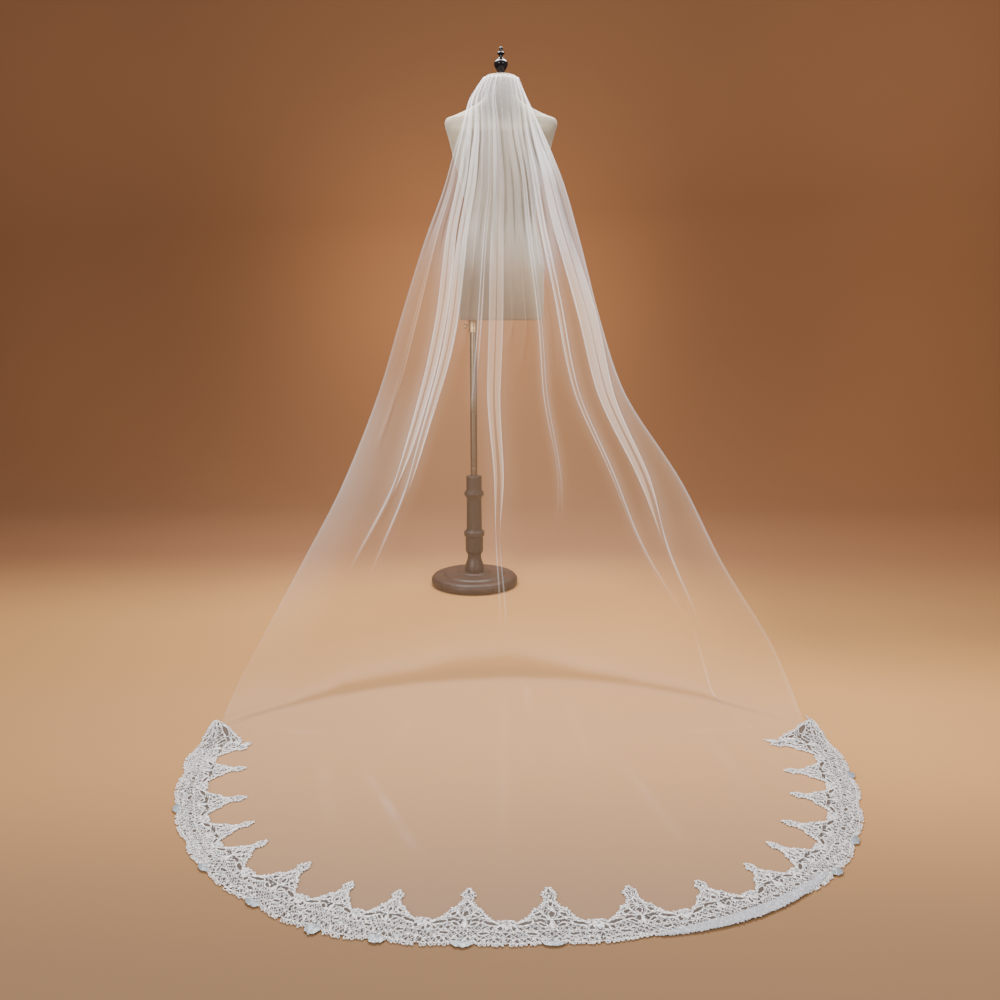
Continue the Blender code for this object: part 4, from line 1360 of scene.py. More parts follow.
@dataclass(frozen=True)
class Motif:
    """The trim's own repeat: a palmette on a lozenge, scrolls, arms, rosettes and a stitched band."""

    half: float = 61.5
    crown: float = 98.0
    foot: float = 21.5
    outer: float = 43.0
    still: float = 20.0
    corner_shift: float = 38.0
    inner_edge: tuple[Pair, ...] = (
        (61.5, 19.5), (53.5, 18.0), (46.5, 13.5), (38.0, 23.0), (31.0, 31.0), (26.5, 38.5),
        (22.8, 46.5), (17.6, 50.0), (13.8, 54.0), (10.4, 61.5), (8.2, 68.5), (8.6, 74.5),
        (11.2, 80.5), (9.4, 86.5), (5.6, 89.5), (3.6, 95.0), (0.0, 98.0))
    outer_edge: tuple[Pair, ...] = (
        (61.5, -42.5), (49.2, -43.4), (36.0, -41.2), (24.0, -41.0), (12.0, -37.0), (0.0, -36.5))
    # a gap's middle, half length, half width and tilt, and whether it has a twin
    gaps: Table = (
        (38.13, 11.0, 12.5, 3.4, -24.0, 1), (17.84, 33.0, 5.8, 3.6, -50.0, 1),
        (0.0, 33.0, 6.0, 4.0, 90.0, 0), (0.0, 58.0, 7.5, 2.6, 90.0, 0),
        (13.53, 9.0, 6.8, 3.2, 42.0, 1), (28.29, -13.0, 6.8, 3.4, 8.0, 1),
        (51.66, -1.0, 5.2, 3.4, 60.0, 1))
    cords: tuple[Cord, ...] = (
        Cord(((0, 20.5), (9.8, 29.5), (13.6, 42.0), (9.0, 54.5), (0, 68.0), (-9.0, 54.5),
              (-13.6, 42.0), (-9.8, 29.5)), 0.95, True, False),
        Cord(((0, 22.8), (7.9, 31.0), (11.0, 42.0), (7.0, 53.0), (0, 62.5), (-7.0, 53.0),
              (-11.0, 42.0), (-7.9, 31.0)), 0.6, True, False),
        Cord(((0, 41.0), (3.4, 44.6), (0, 48.2), (-3.4, 44.6)), 0.85, True, False, 1.0),
        Cord(((2.8, 46.9), (5.4, 49.6), (8.2, 52.8)), 0.7),
        Cord(((2.9, 42.4), (6.0, 39.6), (9.9, 36.0)), 0.7),
        Cord(((3.6, 44.6), (7.4, 44.0), (12.4, 42.0)), 0.6),
        Cord(((2.0, 67.5), (3.4, 71.0), (4.8, 75.0), (4.2, 79.0)), 0.85),
        Cord(((4.0, 22.0), (12.5, 24.0), (20.0, 26.4), (25.4, 31.4), (25.0, 38.4), (20.6, 42.8),
              (14.6, 42.2), (11.4, 37.6), (12.4, 32.2), (16.0, 29.4)), 1.0),
        Cord(((14.5, 45.5), (17.5, 46.6), (18.8, 44.4)), 0.7),
        Cord(((20.0, 23.6), (27.5, 25.2), (34.5, 22.4), (40.0, 17.8), (45.4, 12.4), (51.0, 13.2),
              (56.0, 16.6), (60.8, 18.4)), 0.95),
        Cord(((21.0, 20.8), (28.0, 21.9), (34.0, 19.4), (39.2, 15.6)), 0.6),
        Cord(((18.0, 15.4), (24.0, 12.6), (30.0, 9.4), (37.6, 5.4), (45.6, 1.8), (49.0, -4.0)), 0.9),
        Cord(((0, 0.5), (3.7, 9.0), (0, 19.0), (-3.7, 9.0)), 0.8, True, False, 1.5),
        Cord(((4.6, 1.4), (7.2, 3.2), (7.6, 6.6), (5.2, 5.6)), 0.6, True, True, 0.9),
        Cord(((0, -1.5), (10.0, -4.0), (20.0, -4.6), (31.0, -3.4), (41.0, -5.6), (52.0, -10.0),
              (61.5, -9.0)), 0.8),
        Cord(((0, 81.5), (3.1, 87.5), (0, 96.0), (-3.1, 87.5)), 0.7, True, False),
        Cord(((2.2, 80.4), (6.4, 82.0), (8.6, 85.6), (4.4, 85.4)), 0.7, True, True),
        Cord(((0, 71.0), (2.1, 75.0), (0, 78.6), (-2.1, 75.0)), 0.6, True, False, 0.8),
        Cord(((27.0, 30.8), (30.4, 28.9), (33.6, 25.4), (29.4, 26.9)), 0.55, True, True, 0.8),
    )
    # mounds of thicker work: each one's height, its middle and reach across, the same inward,
    # and how flat its top is
    mounds: Table = (
        (1.3, 0.0, 10.0, 43.0, 17.0, 2), (0.9, 0.0, 7.0, 85.0, 10.0, 2),
        (0.9, 19.0, 8.0, 35.0, 8.0, 2), (1.7, 61.5, 9.0, 6.5, 9.0, 1),
        (0.8, 0.0, math.inf, -20.0, 11.0, 2), (0.5, 0.0, math.inf, 4.0, 9.0, 1))
    step: float = 1.6
    fine_step: float = 1.3
    bold: float = 0.95
    inner_inset: float = 1.9
    outer_inset: float = 5.6
    # each edge's picots: whether they stand on the outer edge, how far in, and their radius
    picot_rows: Table = ((1, 2.2, 2.1), (0, 0.2, 1.4))
    picot_pitch: float = 6.4
    rosette: Pair = (61.5, 6.5)
    rosette_petals: int = 7
    petal: Pair = (7.4, 4.6)
    stem: float = -24.5
    stem_wave: Pair = (2.4, 41.0)
    stem_leaves: int = 9
    stem_leaf: Pair = (8.6, 3.6)
    bar_pitch: float = 10.25
    bar_slope: float = 0.8
    sequins: tuple[Pair, ...] = (
        (8.6, 15.5), (30.0, 3.6), (44.0, -14.5), (16.6, -12.0), (0.0, -8.6), (56.0, -20.0),
        (36.0, -20.5), (22.0, 38.4), (6.0, 66.5), (0.0, 44.6))

    def scaled(self, repeat: Repeat, x: Array, inward: Array) -> tuple[Array, Array]:
        """Carry places of the motif onto a repeat.

        Args:
            repeat: the repeat.
            x: how far each place lies from the repeat's middle.
            inward: how far inward from the band's middle, negative for outward.

        Returns:
            The distance along the border and the reach inward, in metres.
        """
        across = x / self.half
        leaning = across + repeat.lean * (1 - np.abs(across))
        distance = (repeat.start + repeat.end) / 2 + leaning * (repeat.end - repeat.start) / 2
        if repeat.corner:
            outside = across * repeat.corner > 0
            short = np.where(outside, np.clip(1 - np.abs(across), 0.02, 1), 1.0)
            edge = np.array(sorted(self.inner_edge))
            own = np.interp(np.abs(x), edge[:, 0], edge[:, 1])
            full = self.crown * short * np.where(outside, 1.0, 0.0) + own * ~outside
            inward = np.where(inward > 0, inward * full / own, inward * short ** 0.5)
        up = (self.foot + (inward - self.foot) * (repeat.crown * 1000 - self.foot)
              / (self.crown - self.foot))
        beside = np.where(across < 0, repeat.outer_before, repeat.outer_after)
        reach = (repeat.outer + (beside - repeat.outer) * np.abs(across)) * 1000
        down = -(self.still + (-inward - self.still) * (reach - self.still)
                 / (self.outer - self.still))
        result = np.where(inward > self.foot, up, np.where(inward < -self.still, down, inward))
        if repeat.corner:
            result = result - self.corner_shift * np.where(outside, 1 - short, 0.0) ** 2
        return distance, result / 1000

    def relief(self, x: Array, inward: Array) -> Array:
        """How thickly the trim is worked.

        Args:
            x: how far each place lies from the repeat's middle.
            inward: how far inward from the band's middle.

        Returns:
            Millimetres above its thinnest.
        """
        x = np.abs(x)
        arm = 0.8 * np.exp(-((inward - (34 - 0.45 * x)) / 4.5) ** 2) * (x > 20) * (x < 58)
        for height, across, wide, up, deep, flat in self.mounds:
            away = ((x - across) / wide) ** 2 + ((inward - up) / deep) ** 2
            arm = arm + height * np.exp(-away ** flat)
        return arm

    def gap_loop(self, gap: Sequence[float], side: int, grow: float, points: int = 20) -> Array:
        """A gap's outline, grown by so many millimetres.

        Args:
            gap: its row of the table.
            side: 1, or -1 for its twin.
            grow: how far outside the gap's own edge.
            points: how many points it has.

        Returns:
            The closed loop's points.
        """
        x, inward, length, width, tilt, _ = gap
        along, over = circle(points).T
        loop = np.stack([along * (length + grow * 1.2), squarer(over, 2 / 1.15) * (width + grow)], 1)
        return (x * side, inward) + spun(loop, math.radians(tilt) * side)

    def gap_loops(self, grow: float) -> list[Array]:
        """Every gap's outline, grown by so many millimetres."""
        return [self.gap_loop(gap, side, grow) for gap in self.gaps for side in sides_of(gap[5])]

    def edge(self, half_edge: Sequence[Pair], inset: float, step: float = 1.7) -> Array:
        """An edge of the trim, from foot to foot.

        Args:
            half_edge: the edge from its right foot to the repeat's middle.
            inset: how far it is moved into the trim, in millimetres.
            step: the distance between its points.

        Returns:
            Its points.
        """
        full = [(-x, y) for x, y in half_edge] + [(x, y) for x, y in reversed(half_edge[:-1])]
        line = smooth_path(full, step)
        inward = -1 if half_edge[-1][1] > 0 else 1
        return line + left_of(unit(np.gradient(line, axis=0))) * inward * inset

    def paths(self) -> list[Worked]:
        """Every cord of the repeat.

        Returns:
            Each one's points, its radius, whether it is closed, and its filling.
        """
        found: list[Worked] = []
        for cord in self.cords:
            step = self.step if cord.radius > 0.6 else self.fine_step
            for side in sides_of(cord.twin):
                knots = [(x * side, y) for x, y in cord.points]
                line = smooth_path(knots, step, cord.closed)
                found.append((line, cord.radius, cord.closed, cord.filled))
        found += [(loop, self.bold, True, 0.0) for loop in self.gap_loops(1.0)]
        found.append((self.edge(self.inner_edge, self.inner_inset), self.bold, False, 0.0))
        found.append((self.edge(self.outer_edge, self.outer_inset), self.bold, False, 0.0))
        found += [(ring, 0.8, True, 0.0) for ring in self.picots()]
        found += [(line, 0.7, False, 0.0) for line in self.lattice()]
        x = np.linspace(-self.half, self.half, 84)
        found.append((np.stack([x, self.stem_at(x)], 1), 0.8, False, 0.0))
        for index, x in enumerate(np.linspace(-self.half + 6, self.half - 6, self.stem_leaves)):
            turn = math.radians((62 if index % 2 else -62) + 8 * math.sin(3.1 * index))
            found.append(self.leaf(np.array((x, self.stem_at(x))), turn, *self.stem_leaf))
        return found + self.rosette_paths()

    def stem_at(self, x: Array) -> Array:
        """How far inward the band's waving stem runs at each place."""
        height, length = self.stem_wave
        return self.stem + height * np.sin(2 * math.pi * x / length)

    def picots(self) -> list[Array]:
        """The small loops along the trim's outer edge and its arms.

        Returns:
            Each one's points.
        """
        found = []
        for outer, inset, radius in self.picot_rows:
            edge = self.edge(self.outer_edge if outer else self.inner_edge, inset, self.picot_pitch)
            for index, middle in enumerate(edge[1:-1]):
                found.append(middle + radius * (1.0 + 0.3 * math.sin(2.3 * index + radius)) * circle(9))
        return found

    def lattice(self) -> list[Array]:
        """The crossing bars of the band.

        Returns:
            The stretches of each that lie on the band, clear of its gaps.
        """
        found = []
        for lean in (1, -1):
            for start in np.arange(-150.0, 150.0, self.bar_pitch):
                along = np.arange(-60.0, 30.0, 1.7)
                line = np.stack([start + lean * along * self.bar_slope, along], 1)
                on = self.on_band(line, 15.5 - 6 * np.cos(math.pi * line[:, 0] / self.half), 1.0)
                for run in np.split(np.arange(len(line)), np.flatnonzero(np.diff(on)) + 1):
                    if on[run[0]] and len(run) > 2:
                        found.append(line[run])
        return found

    def on_band(self, spots: Array, top: float | Array, clear: float) -> Array:
        """Which places lie on the band and away from its gaps.

        Args:
            spots: the places.
            top: how far inward the band reaches.
            clear: how far from a gap they have to be.

        Returns:
            One truth value for each.
        """
        edge = np.array(sorted(self.outer_edge))
        bottom = np.interp(np.abs(spots[:, 0]), edge[:, 0], edge[:, 1]) + self.outer_inset
        return ((spots[:, 1] < top) & (spots[:, 1] > bottom) & (np.abs(spots[:, 0]) < self.half)
                & ~inside(spots, self.gap_loops(clear)))

    def knots(self) -> Array:
        """Where the band's bars cross, away from its gaps.

        Returns:
            The crossings.
        """
        step = self.bar_pitch / 2
        index = np.stack(np.meshgrid(np.arange(-40, 41), np.arange(-24, 16)), -1).reshape(-1, 2)
        index = index[(index.sum(1) % 2) == 0]
        spots = index * (step, step / self.bar_slope)
        return spots[self.on_band(spots, 14, 1.8)]

    def leaf(self, root: Array, turn: float, length: float, width: float) -> Worked:
        """A small filled leaf that grows from its root at an angle to the band."""
        loop = np.array(((0, 0), (0.45, 0.5), (1.0, 0.0), (0.45, -0.5))) * (length, width)
        return smooth_path(spun(loop, turn) + root, self.fine_step, True), 0.55, True, 1.0

    def rosette_paths(self) -> list[Worked]:
        """The rosette in the valley at the repeat's right end.

        Returns:
            Its cords.
        """
        middle, found = np.array(self.rosette), []
        for petal in range(self.rosette_petals):
            turn = 2 * math.pi * (petal + 0.3) / self.rosette_petals
            root = middle + 2.4 * np.array((math.cos(turn), math.sin(turn)))
            found.append(self.leaf(root, turn, *self.petal))
        return found + [(middle + 2.2 * circle(10), 0.7, True, 1.2)]


@dataclass
class LaceEdge:
    """The trim sewn round the train, made in stretches of three repeats."""

    border: Border
    motif: Motif
    per_stretch: int = 3
    floor: float = 0.0019
    wander: float = 0.62
    pitch: float = 2.3
    granules: int = 12
    bolder: float = 0.98
    taller: float = 1.25
    sides: int = 6
    shells: tuple[int, ...] = (2, 4, 5, 6, 7, 8, 9, 13, 14, 16)
    shell_hinge: float = -28.5
    # the turned edge: where it starts and how long it is, its middle, half width and half height
    turned_start: float = 1.395
    turned_length: float = 0.35
    turned_inward: float = -0.0285
    turned_half: float = 0.0112
    turned_lift: float = 0.0028

    def place(self, repeat: Repeat, path: Array) -> Array:
        """Carry the motif to the floor.

        Args:
            repeat: the repeat.
            path: points of the motif, in its millimetres.

        Returns:
            x, y and z of each, with the trim's thickness as z.
        """
        path = path + self.uneven(path, repeat.start)
        flat = self.border.at(*self.motif.scaled(repeat, path[:, 0], path[:, 1]))
        lift = self.floor + self.motif.relief(path[:, 0], path[:, 1]) / 1000
        return np.column_stack([flat, lift])

    def uneven(self, path: Array, seed: float) -> Array:
        """How far hand-led work wanders from the pattern.

        Args:
            path: points of the motif.
            seed: a number that sets one repeat's wandering apart.

        Returns:
            The way that each point moves, in millimetres.
        """
        x, y = path[:, 0] + 800 * seed, path[:, 1]
        return self.wander * np.stack(
            [np.sin(0.52 * x + 0.9 * np.sin(0.33 * y)) + np.sin(0.71 * y - 0.43 * x + 1.0),
             np.sin(0.47 * y + 1.1 * np.sin(0.39 * x)) + np.sin(0.64 * x + 0.55 * y)], 1)

    def tube(self, shell: Shell, path: Array, radius: float, closed: bool) -> None:
        """Add a round cord along a path that lies nearly flat.

        Args:
            shell: what it joins.
            path: its points.
            radius: its radius.
            closed: whether it runs back to its start.
        """
        way = np.roll(path, -1, 0) - np.roll(path, 1, 0) if closed else np.gradient(path, axis=0)
        side = np.pad(unit(left_of(way[:, :2])), ((0, 0), (0, 1)))
        across, up = circle(self.sides).T
        points = path[:, None] + radius * (side[:, None] * across[None, :, None]
                                           + up[None, :, None] * (0, 0, self.taller))
        here, last = np.arange(self.sides), (len(path) - 1) * self.sides
        groups = [grid_quads(len(path), self.sides, closed=True)]
        if closed:
            after = np.roll(here, -1)
            groups.append(np.stack([last + here, last + after, after, here], 1))
        else:
            groups += [here[None, ::-1], (last + here)[None, :]]
        shell.add(points.reshape(-1, 3), groups)

    def mound(self, shell: Shell, centre: Array, around: Array, height: float,
              rings: Sequence[Pair]) -> None:
        """Add a low mound: rings of vertices, closed by one on top.

        Args:
            shell: what it joins.
            centre: the middle of its foot.
            around: its outline, from the centre.
            height: how high it is.
            rings: each ring's share of the outline and of the height.
        """
        count, last = len(around), (len(rings) - 1) * len(around)
        points = [centre + around * share + (0, 0, height * rise) for share, rise in rings]
        shell.add(np.concatenate(points + [[centre + (0, 0, height)]]),
                  [grid_quads(len(rings), count, closed=True), fan(last + count, last, count)])

    def bead(self, shell: Shell, centre: Array, radius: float, height: float) -> None:
        """Add a small round knot on its centre."""
        self.mound(shell, centre, flat_ring(6) * radius, height, ((1.0, 0.0), (0.72, 0.7)))

    def sequin(self, shell: Shell, centre: Array, radius: float, tilt: float) -> None:
        """Add a cupped sequin with its hole and the knot that holds it.

        Args:
            shell: what it joins.
            centre: its middle.
            radius: its radius.
            tilt: how steeply it leans.
        """
        ring = flat_ring(12)
        leaning = (ring + ring[:, :1] * tilt * (0, 0, 1.0)) * radius
        rings = [centre + leaning * share + (0, 0, rise)
                 for share, rise in ((1.0, 0.0011), (0.62, 0.0005), (0.26, 0.0007))]
        shell.add(np.concatenate(rings), [grid_quads(3, 12, closed=True)])
        self.bead(shell, centre + (0, 0, 0.0005), radius * 0.22, 0.0008)

    def shell_pendant(self, shell: Shell, repeat: Repeat) -> None:
        """Add the ribbed pearl shell that hangs under a repeat's middle.

        Args:
            shell: what it joins.
            repeat: the repeat.
        """
        reach, turn = np.meshgrid(np.linspace(0, 1, 9), np.linspace(-1, 1, 37), indexing="ij")
        angle = turn * 1.12
        rib = np.cos(9 * math.pi * turn) * 0.5 + 0.5
        radius = (2.0 + 15.0 * reach) * (1 + 0.05 * rib * reach)
        path = np.stack([radius * np.sin(angle), self.shell_hinge - radius * np.cos(angle)], -1)
        points = self.place(repeat, path.reshape(-1, 2))
        points[:, 2] += (0.001 + 0.0014 * np.sin(math.pi * np.clip(reach, 0, 0.92))
                         + 0.0006 * rib * reach).ravel()
        shell.add(points, [grid_quads(9, 37)[:, ::-1]])
        self.pearl(shell, repeat, (0.0, -24.6), 0.0024, 0.0022)

    def pearl(self, shell: Shell, repeat: Repeat, spot: Pair, radius: float, height: float) -> None:
        """Add a pearl at a spot of the motif's repeat."""
        centre = self.place(repeat, np.array([spot]))[0] + (0, 0, 0.001)
        self.bead(shell, centre, radius, height)

    def ground(self, repeat: Repeat, shell: Shell) -> None:
        """Add a repeat's stitched ground, with its gaps cut through.

        Args:
            repeat: the repeat.
            shell: what it joins.
        """
        inner = self.motif.edge(self.motif.inner_edge, 1.3, 2.2)
        outer = self.motif.edge(self.motif.outer_edge, 4.6, 2.2)
        loops = [np.concatenate([inner, outer[::-1]]), *self.motif.gap_loops(0.15)]
        columns = np.arange(-self.motif.half + 1.4, self.motif.half - 1, self.pitch)
        rows = np.arange(-46.0, 98.0, self.pitch)
        grid = np.stack(np.meshgrid(columns, rows), -1).reshape(-1, 2)
        grid += np.random.default_rng(17).uniform(-0.4, 0.4, grid.shape)
        flat = np.concatenate(loops + [grid[inside(grid, loops)]])
        edges, start = [], 0
        for loop in loops:
            index = start + np.arange(len(loop))
            edges += list(zip(index.tolist(), np.roll(index, -1).tolist()))
            start += len(loop)
        found = delaunay_2d_cdt([Vector(p) for p in flat], edges, [], 2, 1e-5)
        points = np.array([tuple(p) for p in found[0]])
        shell.add(self.place(repeat, points), [np.array(found[2])])

    def stretch(self, index: int, cord: Material, ground: Material,
                pearl: Material) -> list[Piece]:
        """Make one stretch of the trim.

        Args:
            index: which stretch, from 0.
            cord: the cords' finish.
            ground: the stitched ground's finish, dark as painted shade.
            pearl: the sequins' finish.

        Returns:
            Its pieces.
        """
        cords, grounds, pearls = Shell(), Shell(), Shell()
        draw = np.random.default_rng(100 + index)
        first = index * self.per_stretch
        for number in range(first, first + self.per_stretch):
            repeat = repeats()[number]
            self.ground(repeat, grounds)
            for path, radius, closed, filled in self.motif.paths():
                line = self.place(repeat, path)
                line[:, 2] += 0.0003
                # painted shade: the thinner cords, which stand lower, get a lower tone, which greys
                # them
                cords.tone = float(np.interp(radius, (0.7, 0.95), (0.62, 1.0)))
                self.tube(cords, line, radius * self.bolder / 1000, closed)
                if filled:
                    self.mound(cords, line.mean(0), line - line.mean(0), filled / 1000,
                               [(share, 1 - share * share) for share in (0.96, 0.62, 0.28)])
            spots = np.stack([draw.uniform(-60.5, 60.5, self.granules * 3),
                              draw.uniform(-37.0, 15.0, self.granules * 3)], 1)
            spots = spots[~inside(spots, self.motif.gap_loops(1.4))][: self.granules]
            for spot in self.place(repeat, spots):
                self.bead(cords, spot, draw.uniform(0.0009, 0.0014), draw.uniform(0.0012, 0.002))
            for spot in self.place(repeat, self.motif.knots()):
                cords.tone = draw.uniform(0.7, 1.0)
                self.bead(cords, spot, draw.uniform(0.0012, 0.0016), draw.uniform(0.0018, 0.0024))
            for x, inward in self.motif.sequins:
                for side in sides_of(x):
                    centre = self.place(repeat, np.array([(x * side, inward)]))[0]
                    self.sequin(pearls, centre + (0, 0, 0.0004), 0.0021, draw.uniform(-0.3, 0.3))
            self.pearl(pearls, repeat, self.motif.rosette, 0.0021, 0.0021)
            if number in self.shells:
                self.shell_pendant(pearls, repeat)
        made = []
        for name, shell, finish, node in (
                (f"lace_cords_{index + 1}", cords, cord, [f"lace_edge_{index + 1}"]),
                (f"lace_shaded_ground_{index + 1}", grounds, ground, []),
                (f"lace_pearls_{index + 1}", pearls, pearl, [])):
            mesh = make_mesh(name, shell.vertices(), shell.faces)
            paint(mesh, "tone", np.concatenate(shell.tones))
            made.append(make_piece(name, mesh, finish, node))
        return made

    def turned_edge(self, finish: Material) -> Piece:
        """Make the stretch of edge that is folded back over the band as one soft roll.

        Args:
            finish: the finish of the trim's wrong side.

        Returns:
            The piece.
        """
        stations, around = 300, 20
        share = np.linspace(0, 1, stations)[:, None]
        cosine, sine = circle(around).T[:, None]
        distance = np.broadcast_to(self.turned_start + self.turned_length * share, (stations, around))
        full = np.sqrt(np.sin(math.pi * (0.03 + 0.94 * share)))
        across = cosine * (1 + 0.04 * waves(share + 0.2 * cosine, 3, 6.0, 15.0))
        dent = 0.85 + 0.15 * waves(share + 0.15 * cosine, 9, 9.0, 22.0)
        frill = 0.0012 * waves(share, 27, 30.0, 70.0) * np.clip(-cosine, 0, 1)
        flat = self.border.at(distance, self.turned_inward + across * self.turned_half * full + frill)
        lift = self.turned_lift * (1 + (0.5 + 0.5 * sine) * full * dent)
        ring, last = np.arange(around)[None, :], (stations - 1) * around
        mesh = make_mesh("lace_turned_back", np.concatenate([flat, lift[..., None]], 2).reshape(-1, 3),
                         [grid_quads(stations, around, closed=True), ring[:, ::-1], last + ring])
        paint(mesh, "tone", (0.62 + 0.38 * waves(share + 0.1 * cosine, 33, 14.0, 60.0, 11)).clip(0, 1))
        return make_piece("lace_turned_back", mesh, finish, ["lace_turned_edge"])

    def build(self) -> list[Piece]:
        """Make the whole trim.

        Returns:
            Its pieces, from the left corner round to the right one, and the turned edge.
        """
        cord = ThreadFinish("White cord", (0.95, 0.94, 0.95), (0.41, 0.39, 0.4)).build()
        back = ThreadFinish("Trim's wrong side", (0.47, 0.48, 0.53), (0.25, 0.25, 0.29), 0.7).build()
        ground = ShadedGroundFinish().build()
        pearl = SequinFinish("Pearl sequins", (0.21, 0.235, 0.26), 0.45).build()
        made = []
        for index in range(len(REPEAT_TABLE) // self.per_stretch):
            made += self.stretch(index, cord, ground, pearl)
        return made + [self.turned_edge(back)]


# ------------------------------------------------------------------ the form and its stand
def revolve(profile: Sequence[Pair], sides: int, round_by: float = 0.0012) -> tuple:
    """A turned form: its profile's corners are rounded, then it is spun round the z axis.

    Args:
        profile: (radius, height) from its top to its bottom.
        sides: how many vertices go round it.
        round_by: how much of each corner is rounded off.

    Returns:
        Its vertices and its groups of faces.
    """
    knots = np.array(profile, float)
    line = [knots[0]]
    for before, knot, after in zip(knots, knots[1:], knots[2:]):
        before, after = before - knot, after - knot
        near = min(round_by, np.linalg.norm(before) * 0.45, np.linalg.norm(after) * 0.45)
        start, end = knot + unit(before) * near, knot + unit(after) * near
        line += [(1 - t) ** 2 * start + 2 * t * (1 - t) * knot + t * t * end
                 for t in (0.0, 0.33, 0.67, 1.0)]
    line.append(knots[-1])
    dense = [line[0]]
    for before, after in zip(line, line[1:]):
        pieces = max(int(np.linalg.norm(after - before) / 0.02), 1)
        dense += [before + (after - before) * i / pieces for i in range(1, pieces + 1)]
    ring = np.array([p for p in dense if p[0] > 1e-6])[:, None]
    points = np.concatenate([ring[..., :1] * circle(sides), np.repeat(ring[..., 1:], sides, 1)], 2)
    points = points.reshape(-1, 3)
    faces = [grid_quads(len(ring), sides, closed=True)[:, ::-1]]
    for tip, row, turn in ((dense[0], 0, 1), (dense[-1], len(ring) - 1, -1)):
        if tip[0] <= 1e-6:
            points = np.concatenate([points, [[0, 0, tip[1]]]])
            faces.append(fan(len(points) - 1, row * sides, sides, turn))
    return points, faces


@dataclass
class TorsoForm:
    """The padded torso under its jersey, with seams, a piped lower edge and a neck."""

    finish: CoverFinish
    axis_x: float = 0.096
    sides: int = 128
    rows: int = 128
    seam_depth: float = 0.0011
    seam_width: float = 0.0022
    piping: float = 0.0018
    # height, half width, depth in front, depth behind, squareness
    rings: Table = (
        (0.944, 0.136, 0.086, 0.09, 2.3), (0.954, 0.144, 0.093, 0.098, 2.3),
        (1.03, 0.149, 0.099, 0.112, 2.3), (1.11, 0.149, 0.1, 0.116, 2.3),
        (1.2, 0.136, 0.094, 0.102, 2.3), (1.295, 0.119, 0.085, 0.083, 2.2),
        (1.39, 0.134, 0.107, 0.089, 2.2), (1.47, 0.158, 0.12, 0.097, 2.3),
        (1.54, 0.176, 0.097, 0.09, 2.3), (1.582, 0.187, 0.062, 0.066, 2.2),
        (1.597, 0.183, 0.052, 0.056, 2.1), (1.609, 0.152, 0.046, 0.05, 2.0),
        (1.624, 0.118, 0.044, 0.047, 2.0), (1.64, 0.086, 0.045, 0.048, 2.0),
        (1.658, 0.062, 0.049, 0.051, 2.0), (1.68, 0.054, 0.053, 0.053, 2.0),
        (1.722, 0.053, 0.053, 0.053, 2.0), (1.728, 0.05, 0.05, 0.05, 2.0),
    )
    # the seams that run up and down: where across the form each stands at hip, waist and shoulder
    seams: Table = ((0.0, 0.0, 0.0), (0.52, 0.44, 0.56), (-0.52, -0.44, -0.56), (1.0, 1.0, 1.0),
                    (-1.0, -1.0, -1.0))
    waist: float = 1.295
    collar: float = 1.668
    shoulder: float = 1.59
    seam_top: float = 1.6
    # how the rows of vertices are spread from the bottom up
    row_spread: Table = ((0.0, 0.0), (0.1, 0.05), (0.62, 0.72), (0.86, 0.89), (1.0, 1.0))

    def surface(self, height: Array, angle: Array) -> Array:
        """Points of the smooth torso.

        Args:
            height: their heights.
            angle: their angles round it.

        Returns:
            x, y and z of each.
        """
        half, front, back, power = columns_at(self.rings, height)
        x = squarer(np.cos(angle), power) * half
        y = squarer(np.sin(angle), power) * np.where(np.sin(angle) > 0, front, back)
        return np.stack([x, y, np.broadcast_to(height, x.shape)], -1)

    def build(self) -> Piece:
        """Make the torso.

        Returns:
            The piece.
        """
        low, high = self.rings[0][0], self.rings[-1][0]
        even = curve(self.row_spread, np.linspace(0, 1, self.rows))
        height = (low + (high - low) * even)[:, None]
        grid = self.surface(height, turns(self.sides)[None, :])
        half = np.abs(grid[..., 0]).max(1, keepdims=True)
        sink = bell(height - self.waist, self.seam_width) + bell(height - self.collar, self.seam_width)
        for seam in self.seams:
            where = pchip((low, self.waist, self.shoulder), seam, height)
            away = grid[..., 0] - where * half
            sink = sink + bell(away, self.seam_width) * (height < self.seam_top)
        out = bell(height - low - 0.004, 0.0025) * self.piping - np.minimum(sink, 1.0) * self.seam_depth
        grid[..., :2] += unit(grid[..., :2]) * out[..., None]
        points = grid.reshape(-1, 3) + (self.axis_x, 0, 0)
        faces = [grid_quads(self.rows, self.sides, closed=True)]
        for row, turn in ((0, -1), (self.rows - 1, 1)):
            points = np.concatenate([points, [[self.axis_x, 0, height[row, 0]]]])
            faces.append(fan(len(points) - 1, row * self.sides, self.sides, turn))
        mesh = make_mesh("form_torso", points, faces)
        return make_piece("form_torso", mesh, self.finish.build(), ["dress_form"])


